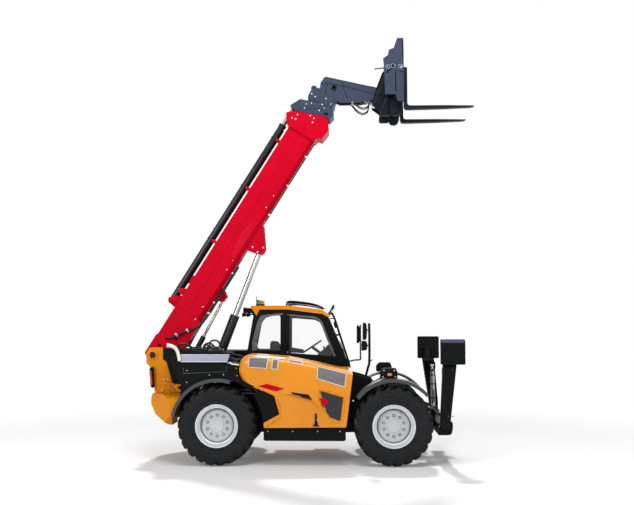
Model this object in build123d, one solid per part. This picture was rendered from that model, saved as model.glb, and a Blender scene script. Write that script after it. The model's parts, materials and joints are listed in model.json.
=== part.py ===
from build123d import *
import math
import os

# Telehandler with a four-section telescopic boom, millimetres.
# +X forward, +Y to the machine's left, +Z up.
# Origin: on the ground, on the centre line, half way between the axles.
# Points of a side outline are (x, z). Points of a boom outline are (u, v): u runs from
# the boom's pivot along the boom, v stands square to it, upwards. Points of a section
# across the machine are (y, z), and points of a plan are (x, y).

# ---------------------------------------------------------------- running gear
wheelbase = 2850.0
track = 1960.0
kingpin_spacing = 1700.0
tyre_radius = 640.0
tyre_width = 400.0
bead_radius = 305.0
rim_flange_radius = 345.0
rim_flange_width = 14.0
rim_wall = 13.0
rim_half_width = 166.0
disc_face = 78.0
disc_thickness = 20.0
hub_radius = 125.0
spindle_radius = 60.0
kingpin_radius = 28.0
kingpin_boss_radius = 60.0
kingpin_boss_half_height = 120.0
knuckle_plate = 35.0
knuckle_gap = 6.0
steering_arm = 150.0
steering_rod_radius = 20.0
steering_rod_drop = 95.0
axle_housing_radius = 172.0
axle_tube_radius = 85.0
running_gap = 1.0          # pin or rod in its bore

# ---------------------------------------------------------------- chassis
rail_inner = 255.0
rail_outer = 385.0
rail_top = 1113.0
belly_z = 455.0
body_half_width = 1150.0
pod_inner = 400.0

# ---------------------------------------------------------------- fenders
fender_inner = 735.0
fender_outer = 757.0
fender_inboard = 765.0
fender_outboard = 1165.0
fender_lip = 55.0
fender_lip_wall = 12.0
fender_arm_radius = 10.0
arch_radius = 765.0        # bodywork over and behind a wheel

# ---------------------------------------------------------------- boom
boom_angle = 58.0
pivot_x = -2644.0
pivot_z = 1743.0
pivot_pin_radius = 50.0
pivot_tube_radius = 85.0
boom_half_width = 190.0
boom_top = 140.0
boom_bottom = -375.0
boom_wall = 11.0
outer_front = 4700.0
lift_pin = (2500.0, -568.0)
lift_base = (-1838.0, 938.0)
levelling_pin = (1450.0, -480.0)
levelling_base = (-2300.0, 1150.0)
telescope_v = 272.0
tilt_pin = (5911.0, -880.0)
tilt_base = (5615.0, -153.0)
tilt_rod_pin_world = (1180.0, 6120.0)


# ---------------------------------------------------------------- forms
def side_plate(outline, y_low, y_high, corner=0.0):
    """A plate with a side outline of (x, z) points, between two y planes."""
    points = [(x, y_low, z) for x, z in outline]
    if corner:
        edge = FilletPolyline(*points, radius=corner, close=True)
    else:
        edge = Polyline(*points, close=True)
    return extrude(make_face(edge), amount=y_high - y_low, dir=(0, 1, 0))


def plan_plate(outline, z_low, z_high, corner=0.0):
    """A plate with a plan of (x, y) points, between two z planes."""
    points = [(x, y, z_low) for x, y in outline]
    if corner:
        edge = FilletPolyline(*points, radius=corner, close=True)
    else:
        edge = Polyline(*points, close=True)
    return extrude(make_face(edge), amount=z_high - z_low, dir=(0, 0, 1))


def cross_plate(outline, x_low, x_high, corner=0.0):
    """A plate with an outline of (y, z) points across the machine, between two x planes."""
    points = [(x_low, y, z) for y, z in outline]
    if corner:
        edge = FilletPolyline(*points, radius=corner, close=True)
    else:
        edge = Polyline(*points, close=True)
    return extrude(make_face(edge), amount=x_high - x_low, dir=(1, 0, 0))


def block(x_low, x_high, y_low, y_high, z_low, z_high):
    size = (x_high - x_low, y_high - y_low, z_high - z_low)
    return Pos((x_low + x_high) / 2, (y_low + y_high) / 2, (z_low + z_high) / 2) * Box(*size)


def bar(start, end, radius):
    """A round bar between two points."""
    start = Vector(*start)
    end = Vector(*end)
    plane = Plane(origin=start, z_dir=end - start)
    return extrude(plane * Circle(radius), amount=(end - start).length)


def bar_y(x, z, y_low, y_high, radius):
    return bar((x, y_low, z), (x, y_high, z), radius)


def spun_y(profile, corner=0.0):
    """A body of revolution about the Y axis, from (radius, y) points."""
    points = [(r, y, 0) for r, y in profile]
    if corner:
        edge = FilletPolyline(*points, radius=corner, close=True)
    else:
        edge = Polyline(*points, close=True)
    return revolve(make_face(edge), axis=Axis.Y)


def other_side(shape):
    return mirror(shape, about=Plane.XZ)


def on_boom(shape):
    """Turns a shape from boom outline coordinates to its place on the machine."""
    return Location((pivot_x, 0, pivot_z), (0, -boom_angle, 0)) * shape


def boom_point(u, v):
    """The side-view place of a boom outline point."""
    c = math.cos(math.radians(boom_angle))
    s = math.sin(math.radians(boom_angle))
    return pivot_x + u * c - v * s, pivot_z + u * s + v * c


def save(name, *shapes):
    solids = [solid for shape in shapes for solid in shape.solids()]
    os.makedirs("parts", exist_ok=True)
    if len(solids) == 1:
        export_step(solids[0], "parts/" + name + ".step")
    else:
        export_step(Compound(children=solids), "parts/" + name + ".step")


# ---------------------------------------------------------------- wheels
def tyre():
    """Carcass about the origin, square to Y."""
    half = tyre_width / 2
    side = [
        (bead_radius, rim_half_width - rim_flange_width - 2),
        (rim_flange_radius + 2, rim_half_width - rim_flange_width),
        (rim_flange_radius + 4, rim_half_width + 8),
        (420, half),
        (540, half),
        (610, half - 14),
        (tyre_radius, half - 50),
    ]
    profile = side + [(r, -y) for r, y in reversed(side)]
    return spun_y(profile)


def rim():
    """Drop-less rim with a dished disc; outer face towards +Y."""
    lip = rim_half_width - rim_flange_width
    well = bead_radius - rim_wall
    shell = spun_y([
        (well, -rim_half_width), (rim_flange_radius, -rim_half_width), (rim_flange_radius, -lip),
        (bead_radius - 0.5, -lip), (bead_radius - 0.5, lip), (rim_flange_radius, lip),
        (rim_flange_radius, rim_half_width), (well, rim_half_width),
    ])
    inner = disc_face - disc_thickness
    disc = spun_y([
        (0, inner), (225, inner), (260, inner - 22), (well + 1, inner - 22),
        (well + 1, inner + 6), (265, inner + 6), (235, disc_face), (112, disc_face),
        (104, disc_face + 14), (0, disc_face + 14),
    ])
    hub = spun_y([(0, -18), (hub_radius, -18), (hub_radius, inner + 1), (0, inner + 1)])
    bore = spun_y([(0, -20), (spindle_radius + running_gap, -20), (spindle_radius + running_gap, 42), (0, 42)])
    return shell + disc + hub - bore


def knuckle():
    """Steering knuckle of a left wheel about the kingpin's middle: wheel towards +Y,
    steering arm towards -X."""
    reach = kingpin_boss_half_height + knuckle_gap
    top = reach + knuckle_plate
    web_y = kingpin_boss_radius + 15
    cheek = [(-60, -62), (60, -62), (70, 0), (70, web_y + 34), (-70, web_y + 34), (-70, 0)]
    upper = plan_plate(cheek, reach, top, 20)
    lower = plan_plate(cheek, -top, -reach, 20)
    arm = plan_plate([(-30, -50), (-steering_arm, -38), (-steering_arm - 38, 0),
                      (-steering_arm, 38), (-30, 50)], -top, -reach, 12)
    web = block(-70, 70, web_y, web_y + 34, -top, top)
    pin = bar((0, 0, -top), (0, 0, top), kingpin_radius)
    hub_y = track / 2 - kingpin_spacing / 2
    spindle = bar((0, web_y, 0), (0, hub_y + 36, 0), spindle_radius)
    return upper + lower + arm + web + pin + spindle


def axle():
    """Steering drive axle about its middle; input flange and steering cylinder towards -X."""
    end = kingpin_spacing / 2
    half = [(axle_housing_radius, 110), (118, 215), (104, 420), (axle_tube_radius, end - 90),
            (axle_tube_radius, end - 20)]
    profile = [(0, end - 20)] + list(reversed(half)) + [(r, -y) for r, y in half] + [(0, -end + 20)]
    beam = spun_y(profile)
    boss_top = kingpin_boss_half_height
    rod_x = -steering_arm
    rod_z = -steering_rod_drop
    barrel = bar_y(rod_x, rod_z, -300, 300, 38)
    glands = bar_y(rod_x, rod_z, -312, 312, 30)
    flange = bar((-280, 0, 0), (0, 0, 0), 62) + bar((-296, 0, 0), (-276, 0, 0), 88)
    whole = beam + barrel + glands + flange
    for side in (-1, 1):
        whole += bar((0, side * end, -boss_top), (0, side * end, boss_top), kingpin_boss_radius)
        middle = side * (rail_inner + rail_outer) / 2
        whole += block(-105, 105, middle - 60, middle + 60, 40, 820 - tyre_radius)
    whole -= bar_y(rod_x, rod_z, -400, 400, steering_rod_radius + running_gap)
    for side in (-1, 1):
        whole -= bar((0, side * end, -boss_top - 1), (0, side * end, boss_top + 1),
                     kingpin_radius + running_gap)
    return whole


def steering_rod():
    end = kingpin_spacing / 2
    rod = bar_y(-steering_arm, -steering_rod_drop, -end, end, steering_rod_radius)
    for side in (-1, 1):
        rod += bar((-steering_arm, side * end, -steering_rod_drop - 25),
                   (-steering_arm, side * end, -steering_rod_drop + 25), 31)
    return rod


tyre_shape = tyre()
rim_shape = rim()
knuckle_left = knuckle()
knuckle_right = other_side(knuckle_left)
axles = []
for end_name, facing in (("front", 1), ("rear", -1)):
    # the rear axle is the front one turned half round
    turn = 0 if facing > 0 else 180
    place = Location((facing * wheelbase / 2, 0, tyre_radius), (0, 0, turn))
    axles.append(place * axle())
    save("steering_rod_" + end_name, place * steering_rod())
    for side_name, side in (("left", 1), ("right", -1)):
        axle_side = side * facing
        arm_part = knuckle_left if axle_side > 0 else knuckle_right
        save("knuckle_" + end_name + "_" + side_name,
             place * Pos(0, axle_side * kingpin_spacing / 2, 0) * arm_part)
        hub = Location((facing * wheelbase / 2, side * track / 2, tyre_radius), (0, 0, 0 if side > 0 else 180))
        save("tyre_" + end_name + "_" + side_name, hub * tyre_shape)
        save("rim_" + end_name + "_" + side_name, hub * rim_shape)

save("axles", *axles)

# ---------------------------------------------------------------- chassis frame
rail_outline = [
    (-2448, 660), (-1850, 740), (-1740, 820), (-1120, 820), (-960, belly_z), (940, belly_z),
    (1110, 820), (1740, 820), (1830, 560), (2155, 560), (2155, 860), (1900, 960), (700, 1040),
    (-1500, rail_top), (-2448, rail_top),
]
rail = side_plate(rail_outline, rail_inner, rail_outer)
side_screen = side_plate([(-2300, rail_top - 5), (-2290, 1262), (-2470, 1862), (-2300, 1872), (-2190, 1640),
                          (-2040, 1300), (-1980, rail_top - 5)], 345, 357, 10)
rail += side_screen
front_web = side_plate([(650, 1030), (728, 1440), (900, 1400), (1100, 1330), (1300, 1000)],
                       rail_outer - 14, rail_outer, 20)
rail += front_web
frame = rail + other_side(rail)
frame += block(1960, 2155, -rail_inner - 5, rail_inner + 5, 575, 790)
frame += block(-940, 920, -rail_inner - 5, rail_inner + 5, belly_z, belly_z + 16)
frame += block(-2448, -2330, -rail_inner - 5, rail_inner + 5, 660, 1000)
frame += block(-2448, -2425, -rail_inner - 5, rail_inner + 5, 990, 1100)
frame += block(-2020, -1930, -rail_inner - 5, rail_inner + 5, 760, 900)
frame += block(940, 1010, -rail_inner - 5, rail_inner + 5, 640, 840)
for side in (-1, 1):
    ear = side_plate([(-2020, 800), (-2020, 900), (-1880, 1010), (-1796, 1010), (-1766, 938), (-1796, 866), (-1900, 800)],
                     100, 138, 16)
    levelling_ear = side_plate([(-2440, 1000), (-2440, 1090), (-2330, 1196), (-2270, 1196), (-2250, 1150), (-2270, 1104), (-2335, 980)],
                               46, 70, 14)
    if side < 0:
        ear = other_side(ear)
        levelling_ear = other_side(levelling_ear)
    frame += ear
    frame += levelling_ear
frame += bar_y(lift_base[0], lift_base[1], -138, 138, 40)
frame += bar_y(levelling_base[0], levelling_base[1], -70, 70, 25)
save("chassis_frame", frame)

# ---------------------------------------------------------------- boom tower
tower_inner = 245.0
tower_outer = 325.0
tower_outline = [
    (-2757, 1772), (-2751, 1600), (-2657, 1505), (-2608, 1160), (-2600, rail_top),
    (-2180, rail_top), (-2230, 1225), (-2310, 1290), (-2481, 1868), (-2700, 1868),
]
lug_hole = (-2149.0, 1197.0)
lug_hole_radius = 26.0
lug_inner = 420.0
lug_outer = 460.0
tower_side = side_plate(tower_outline, tower_inner, tower_outer, 22)
tower_side += bar_y(pivot_x, pivot_z, tower_inner + 1, tower_outer + 8, 92)
bracket = side_plate([(-2490, 1118), (-2490, 1190), (-2440, 1258), (-2330, 1258), (-2312, 1240), (-2312, 1118)],
                     tower_outer - 5, lug_outer, 12)
bracket -= block(-2400, -2330, tower_outer + 30, lug_inner - 25, 1140, 1300)
tower_side += bracket
tie_lug = side_plate([(-2340, 1122), (-2340, 1235), (-2250, 1255), (-2100, 1255), (-2078, 1232), (-2078, 1150), (-2106, 1122)],
                     lug_inner, lug_outer, 14)
tie_lug -= bar_y(lug_hole[0], lug_hole[1], lug_inner - 5, lug_outer + 5, lug_hole_radius)
tower_side += tie_lug
tower = tower_side + other_side(tower_side)
tower += side_plate([(-2648, 1300), (-2618, 1118), (-2560, 1118), (-2560, 1180), (-2600, 1420), (-2640, 1420)],
                    -tower_inner - 5, tower_inner + 5, 15)
tower += bar_y(pivot_x, pivot_z, -tower_outer - 8, tower_outer + 8, pivot_pin_radius)
save("boom_tower", tower)

# ---------------------------------------------------------------- counterweight
weight_top = rail_top - 1
weight_half = 960.0
weight_side = side_plate([
    (-2587, weight_top), (-2617, 1048), (-2619, 933), (-2519, 774), (-2256, 631), (-2120, 612), (-2040, 612),
    (-2040, weight_top),
], -weight_half, weight_half)
weight_side -= bar_y(-wheelbase / 2, tyre_radius, -weight_half - 1, weight_half + 1, arch_radius)
weight_plan = plan_plate([
    (-2620, -520), (-2240, -weight_half), (-2030, -weight_half), (-2030, -rail_outer - 4),
    (-2452, -rail_outer - 4), (-2452, rail_outer + 4), (-2030, rail_outer + 4), (-2030, weight_half),
    (-2240, weight_half), (-2620, 520),
], 600, 1200)
weight_across = cross_plate([
    (-weight_half, 760), (-weight_half, 1020), (-weight_half + 120, weight_top), (weight_half - 120, weight_top),
    (weight_half, 1020), (weight_half, 760), (weight_half - 130, 600), (-weight_half + 130, 600),
], -2700, -2000)
save("counterweight", weight_side & weight_plan & weight_across)

# ---------------------------------------------------------------- engine, tanks, exhaust
save("engine_block", block(-340, 480, -900, -440, 660, 1330))
arch = bar_y(-wheelbase / 2, tyre_radius, -1200, 1200, fender_outer + 1)
deck_outline = [
    (-2323, 1700), (-2323, 1862), (-2300, 1885), (-1236, 1802), (-1236, 1650), (-1112, 1610), (-1112, 1424),
    (-1062, 1384), (-872, 1284), (-872, 1120), (-2030, 960), (-2030, 1290), (-2200, 1620),
]
deck = side_plate(deck_outline, -1050, -pod_inner)
deck += side_plate([(-2026, 1706), (-2026, 1798), (-1262, 1742), (-1258, 1690)], -1060, -1045, 6)
deck -= side_plate([(-2030, 1640), (-1240, 1640), (-1240, 1606), (-2010, 1606)], -1060, -1042)
deck -= arch
tank = side_plate([(-2200, 1500), (-2240, 1740), (-2215, 1790), (-1130, 1790), (-1130, 1424), (-1130, 1120), (-2030, 960),
                   (-2030, 1290)], pod_inner, 1080)
tank = fillet(tank.edges().filter_by(Axis.X).filter_by(lambda e: e.center().Y > 1000 and e.center().Z > 1700), 45)
tank -= side_plate([(-1980, 1400), (-1980, 1640), (-1250, 1640), (-1250, 1440)], 1068, 1090, 25)
tank -= arch
tank += bar((-1700, 740, 1780), (-1700, 740, 1822), 62)
save("side_tanks", deck, tank)

exhaust_line = FilletPolyline((-2070, -1085, 1600), (-2070, -1085, 1850), (-2270, -1085, 1930), radius=60)
exhaust_pipe = sweep(Plane(exhaust_line @ 0, z_dir=exhaust_line % 0) * Circle(32), path=exhaust_line)
exhaust_pipe += bar_y(-2070, 1720, -1085, -1050, 22)
save("exhaust_pipe", exhaust_pipe)

# ---------------------------------------------------------------- fenders


def arc_band(centre_x, inner, outer, start, end, y_low, y_high):
    """A curved band about a hub: angles in degrees from +X."""
    def at(radius, angle):
        a = math.radians(angle)
        return centre_x + radius * math.cos(a), y_low, tyre_radius + radius * math.sin(a)
    middle = (start + end) / 2
    edge = Wire([
        ThreePointArc(at(inner, start), at(inner, middle), at(inner, end)).edge(),
        Line(at(inner, end), at(outer, end)).edge(),
        ThreePointArc(at(outer, end), at(outer, middle), at(outer, start)).edge(),
        Line(at(outer, start), at(inner, start)).edge(),
    ])
    return extrude(make_face(edge), amount=y_high - y_low, dir=(0, 1, 0))


def fender(centre_x, start, end, arm_angle):
    """A left fender: a curved sheet over the tyre, its outer edge turned down, on an arm."""
    sheet = arc_band(centre_x, fender_inner, fender_outer, start, end, fender_inboard, fender_outboard)
    edge = arc_band(centre_x, fender_outer - fender_lip, fender_outer, start, end,
                    fender_outboard - fender_lip_wall, fender_outboard)
    middle = (fender_inner + fender_outer) / 2
    arm_x = centre_x + middle * math.cos(math.radians(arm_angle))
    arm_z = tyre_radius + middle * math.sin(math.radians(arm_angle))
    arm = bar_y(arm_x, arm_z, rail_outer, fender_inboard + 40, fender_arm_radius)
    return sheet + edge + arm


fenders = []
for centre, start, end, arm_angle in ((wheelbase / 2, 42, 142, 116), (-wheelbase / 2, 73, 168, 150)):
    left_fender = fender(centre, start, end, arm_angle)
    fenders += [left_fender, other_side(left_fender)]
save("fenders", *fenders)

# ---------------------------------------------------------------- engine pod
hood_wall = 25.0
shoulder_radius = 140.0
hood_crown = [
    # x, z, rounding of the corner, from the nose over the top to the front edge
    (-1030, 1380, 0), (-1090, 1500, 155), (-1060, 1700, 150), (-944, 1781, 150), (-323, 1738, 400),
    (167, 1643, 300), (620, 1532, 300), (768, 1472, 0),
]
hood_sill = [
    # from the front edge along the bottom and the rear wheel arch to the nose's underside
    (768, 1472, 0), (661, 627, 20), (-659, 614, 20), (-668, 691, 20), (-408, 831, 30), (-496, 1123, 60),
    (-757, 1243, 250), (-1030, 1380, 0),
]


def rounded_line(corners, y):
    """An open line in side view whose inner corners each have their own rounding."""
    inner = [radius for x, z, radius in corners[1:-1]]
    return FilletPolyline(*[(x, y, z) for x, z, radius in corners], radius=inner)


def crowned_pod(crown, sill, y_face, y_back, radius):
    """A pod of bodywork, rounded over along its crown beside the outer face."""
    outline = make_face(rounded_line(crown, y_face) + rounded_line(sill, y_face))
    shape = extrude(outline, amount=y_back - y_face, dir=(0, 1, 0))
    crown_low = crown[0][1]
    edges = shape.edges().filter_by(lambda e: abs(e.center().Y - y_face) < 1 and e.center().Z > crown_low)
    return fillet(edges, radius)


bay_crown = [
    (-1006, 1398, 0), (-1062, 1506, 130), (-1034, 1690, 125), (-934, 1754, 125), (-325, 1711, 400),
    (162, 1616, 300), (612, 1506, 280), (742, 1453, 0),
]
bay_sill = [
    (742, 1453, 0), (636, 560, 20), (-640, 560, 20), (-640, 668, 15), (-374, 813, 20), (-468, 1141, 40),
    (-744, 1268, 200), (-1006, 1398, 0),
]
hood = crowned_pod(hood_crown, hood_sill, -body_half_width, -pod_inner, shoulder_radius)
hood -= crowned_pod(bay_crown, bay_sill, -body_half_width + hood_wall, -pod_inner + 1, shoulder_radius - hood_wall)
pocket_table = [
    # outline, depth, corner
    ([(230, 1222), (617, 1104), (566, 723), (377, 763)], 14, 30),
    ([(-470, 1130), (-240, 1158), (112, 1066), (190, 960), (330, 668), (-600, 668), (-372, 800)], 8, 25),
    ([(-610, 1318), (-760, 1276), (-596, 1208), (-430, 1184), (-330, 1240)], 6, 8),
]
for outline, depth, corner in pocket_table:
    hood -= side_plate(outline, -body_half_width - 1, -body_half_width + depth, corner)
save("engine_hood", hood)
skirt = side_plate([(-667, 600), (-667, 420), (-640, 406), (630, 406), (653, 430), (653, 600)],
                   -1120, -pod_inner, 10)
arch_panel = side_plate([(-838, 1140), (-772, 1234), (-512, 1112), (-424, 838), (-676, 702), (-690, 790),
                         (-722, 905), (-778, 1030)], -1110, -1090)
save("side_skirt", skirt)
save("arch_panel", arch_panel)

# ---------------------------------------------------------------- cab
cab_inner = 262.0
cab_outer = 1160.0
cab_wall = 45.0
waist = 1722.0
cab_outline = [
    (-640, 700), (-640, 1200), (-960, 1400), (-1098, waist), (-985, 2400), (-1010, 2520), (-357, 2520),
    (225, 2450), (345, 2380), (713, 1516), (655, 1080), (600, 700),
]
cab_hollow = [
    (-595, 745), (-595, 1226), (-926, 1432), (-1050, waist), (-938, 2400), (-950, 2475), (-360, 2475),
    (215, 2406), (312, 2352), (664, 1520), (610, 1090), (560, 745),
]
shell = side_plate(cab_outline, cab_inner, cab_outer)
shell -= block(-1200, 800, cab_inner - 10, pod_inner - 5, 600, 1125)
hollow = side_plate(cab_hollow, cab_inner + cab_wall, cab_outer - cab_wall)
hollow -= block(-1200, 800, cab_inner, pod_inner + cab_wall - 5, 600, 1125 + cab_wall)
shell -= hollow
rear_pane = [(-1000, 1800), (-905, 2300), (-850, 2400), (-500, 2425), (-500, 1790)]
front_pane = [(-400, 2415), (94, 2370), (213, 2310), (345, 1975), (460, 1700), (-400, 1760)]
shell -= side_plate(rear_pane, cab_inner - 20, cab_inner + cab_wall + 20, 45)
shell -= side_plate(front_pane, cab_inner - 20, cab_inner + cab_wall + 20, 40)
shell -= side_plate(rear_pane, cab_outer - cab_wall - 20, cab_outer + 20, 45)
door_opening = [(-430, 2440), (94, 2400), (232, 2335), (622, 1500), (560, 1090), (540, 830), (-430, 830)]
shell -= side_plate(door_opening, cab_outer - cab_wall - 20, cab_outer + 20, 30)
shell -= block(200, 900, cab_inner + 70, cab_outer - 70, 1500, 2330)
shell -= block(-1200, -800, cab_inner + 90, cab_outer - 90, 1800, 2360)
shell -= block(-330, 180, cab_inner + 130, cab_outer - 130, 2380, 2600)
tub = shell & block(-1300, 900, 0, 1300, 600, 1516)
for step_x in (60, 504):
    tub += block(step_x, step_x + 16, 980, 1150, 430, 705)
tub += block(60, 520, 940, 1165, 425, 450)
pillars = shell & block(-1300, 900, 0, 1300, 1516, 2600)
save("cab_tub", tub)
save("cab_frame", pillars)

roof_outline = [(-1017, 2522), (-1030, 2570), (-980, 2588), (-357, 2592), (238, 2518), (372, 2412), (349, 2384), (226, 2453), (-357, 2522)]
roof = side_plate(roof_outline, cab_inner - 18, cab_outer + 18, 4)
roof -= block(-330, 180, cab_inner + 130, cab_outer - 130, 2380, 2650)
save("cab_roof", roof)

glass_thickness = 6.0
panes = [
    side_plate(rear_pane, cab_inner + 12, cab_inner + 12 + glass_thickness, 45),
    side_plate(front_pane, cab_inner + 12, cab_inner + 12 + glass_thickness, 40),
    side_plate(rear_pane, cab_outer - 12 - glass_thickness, cab_outer - 12, 45),
]
windscreen = side_plate([(349 - 10, 2329), (703 - 15, 1502), (711 - 15, 1502), (357 - 10, 2329)], cab_inner + 71, cab_outer - 71)
panes.append(windscreen)
panes.append(side_plate([(-1068, 1802), (-984, 2358), (-978, 2358), (-1062, 1802)], cab_inner + 91, cab_outer - 91))
panes.append(block(-329, 179, cab_inner + 131, cab_outer - 131, 2480, 2488))
save("cab_glass", *panes)

guard = block(-402, -372, cab_inner + 60, cab_outer - 60, 2600, 2680) + block(235, 265, cab_inner + 60, cab_outer - 60, 2530, 2600)
for lane in range(7):
    y = cab_inner + 80 + lane * (cab_outer - cab_inner - 160) / 6
    guard += bar((-387, y, 2668), (250, y, 2588), 9)
save("roof_guard", guard)

# door on the left, hinged at the middle pillar
door_outline = [(-422, 2430), (92, 2391), (226, 2328), (612, 1500), (550, 1092), (531, 838), (-422, 838)]
door_pane = [(-360, 2370), (76, 2336), (176, 2290), (548, 1493), (500, 1120), (488, 1010), (-360, 1010)]
door = side_plate(door_outline, cab_outer - 41, cab_outer + 4, 24)
door -= side_plate(door_pane, cab_outer - 60, cab_outer + 20, 40)
save("cab_door", door)
save("door_glass", side_plate(door_pane, cab_outer - 22, cab_outer - 16, 40))

seat_base = block(-560, -160, 480, 900, 745, 1180)
seat_cushion = side_plate([(-580, 1175), (-585, 1300), (-140, 1320), (-120, 1240), (-140, 1175)], 460, 930, 20)
seat_back = side_plate([(-560, 1280), (-650, 1340), (-722, 1950), (-640, 1965), (-560, 1700), (-520, 1290)], 470, 920, 15)
save("seat", seat_base + seat_cushion + seat_back)
console = side_plate([(590, 1100), (632, 1480), (430, 1690), (250, 1690), (200, 1560), (420, 1200), (430, 745), (540, 745)],
                     460, 990, 15)
wheel_plane = Plane(origin=(40, 700, 1850), z_dir=(-0.55, 0, 0.83))
console += bar((330, 700, 1640), (40, 700, 1850), 26)
console += wheel_plane * Pos(0, 0, 0) * Torus(185, 14)
console += wheel_plane * (Cylinder(40, 30) + Box(370, 26, 12) + Box(26, 370, 12))
save("dashboard", console)

# ---------------------------------------------------------------- mirrors and lamps
mirror_right = bar((970, -1000, 1400), (1037, -1000, 1666), 16) + bar((1037, -1000, 1666), (1043, -1000, 2292), 16)
mirror_right += block(926, 1005, -1090, -950, 2018, 2303) + block(1004, 1048, -1010, -990, 2100, 2230)
mirror_right += block(897, 1004, -1080, -960, 1842, 2010) + block(1000, 1040, -1010, -990, 1900, 1940)
mirror_left = bar((700, 1130, 1560), (930, 1150, 1600), 16) + bar((930, 1150, 1590), (930, 1150, 2250), 16)
mirror_left += block(860, 925, 1050, 1178, 1900, 2240)
save("mirrors", mirror_right, mirror_left)

lamps = []
for side in (-1, 1):
    lamps.append(block(-2684, -2616, min(side * 327, side * 420), max(side * 327, side * 420), 1189, 1536))
    lamps.append(side_plate([(1214, 1400), (1214, 1520), (1260, 1559), (1450, 1559), (1496, 1520), (1496, 1400)],
                            side * 930 - 90, side * 930 + 90, 20))
beacon_green = bar((-900, 340, 2592), (-900, 340, 2700), 40)
beacon_orange = bar((-850, 560, 2592), (-850, 560, 2690), 45)
work_lamp = block(-1130, -1045, 300, 420, 2420, 2540)
lamps += [beacon_green, beacon_orange, work_lamp]
save("lamps", *lamps)

# ---------------------------------------------------------------- hydraulic cylinders
def cylinder(base, pin, across, barrel_radius, barrel_length, rod_radius, rod_length,
             base_pin, base_eye, base_half, rod_pin, rod_eye, rod_half):
    """A barrel pinned at its base and the rod that runs in it, as two shapes."""
    base = Vector(*base)
    pin = Vector(*pin)
    across = Vector(*across)
    way = (pin - base).normalized()
    barrel = bar(base, base + way * barrel_length, barrel_radius)
    barrel -= bar(base + way * (base_eye + 14), base + way * (barrel_length - 45), barrel_radius - 15)
    barrel += bar(base - across * base_half, base + across * base_half, base_eye)
    bore_half = max(base_half, barrel_radius) + 1
    barrel -= bar(base - across * bore_half, base + across * bore_half, base_pin + running_gap)
    barrel -= bar(base + way * (barrel_length - 50), base + way * (barrel_length + 1), rod_radius + running_gap)
    rod = bar(pin - way * rod_length, pin - way * rod_eye * 0.5, rod_radius)
    rod += bar(pin - across * rod_half, pin + across * rod_half, rod_eye)
    rod -= bar(pin - across * (rod_half + 1), pin + across * (rod_half + 1), rod_pin)
    return barrel, rod


def in_side_view(point):
    return point[0], 0, point[1]


lift_pin_at = boom_point(*lift_pin)
levelling_pin_at = boom_point(*levelling_pin)
tilt_pin_at = boom_point(*tilt_pin)
tilt_base_at = boom_point(*tilt_base)
lift_barrel, lift_rod = cylinder(
    in_side_view(lift_base), in_side_view(lift_pin_at), (0, 1, 0),
    82, 1585, 48, 1500, 40, 74, 94, 25, 48, 84)
save("lift_cylinder_barrel", lift_barrel)
save("lift_cylinder_rod", lift_rod)
levelling_barrel, levelling_rod = cylinder(
    in_side_view(levelling_base), in_side_view(levelling_pin_at), (0, 1, 0),
    45, 1020, 24, 990, 25, 38, 40, 16, 38, 46)
save("levelling_cylinder_barrel", levelling_barrel)
save("levelling_cylinder_rod", levelling_rod)
tilt_barrel, tilt_rod = cylinder(
    in_side_view(tilt_base_at), in_side_view(tilt_rod_pin_world), (0, 1, 0),
    55, 590, 28, 560, 30, 58, 92, 22, 44, 60)
save("tilt_cylinder_barrel", tilt_barrel)
save("tilt_cylinder_rod", tilt_rod)

# ---------------------------------------------------------------- stabilisers
leg_hinge = (1010.0, 640.0)
leg_inner = 935.0
leg_outer = 1085.0
leg_pin_radius = 30.0
foot_hinge = (1075.0, 1830.0)
leg_cylinder_base = (760.0, 780.0)
leg_cylinder_pin = (900.0, 1500.0)
beam_end = 915.0
foot_half = 197.0
foot_back = 1110.0
sole_y = 1178.0
beam = block(2155, 2335, -beam_end, beam_end, 480, 660)
leg_wall = 14.0
leg_web = 20.0
leg_bottom = 560.0
leg_top = 1640.0
slot_top = 1590.0
cylinder_side = 43.0       # half the width kept free for a leg's cylinder
legs = {
    # outline: rear lower, rear bend, rear upper, front upper, front bend, front lower
    "right": {"side": -1, "outline": [(2178, leg_bottom), (2178, 760), (2225, leg_top), (2441, leg_top), (2338, 760),
                                      (2338, leg_bottom)],
              "cylinder_x": 2275.0, "foot_x": 2372.0, "neck_x": 2333.0},
    "left": {"side": 1, "outline": [(2178, leg_bottom), (2178, 850), (2060, leg_top), (2275, leg_top), (2338, 850),
                                    (2338, leg_bottom)],
             "cylinder_x": 2235.0, "foot_x": 2186.0, "neck_x": 2161.0},
}
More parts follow.
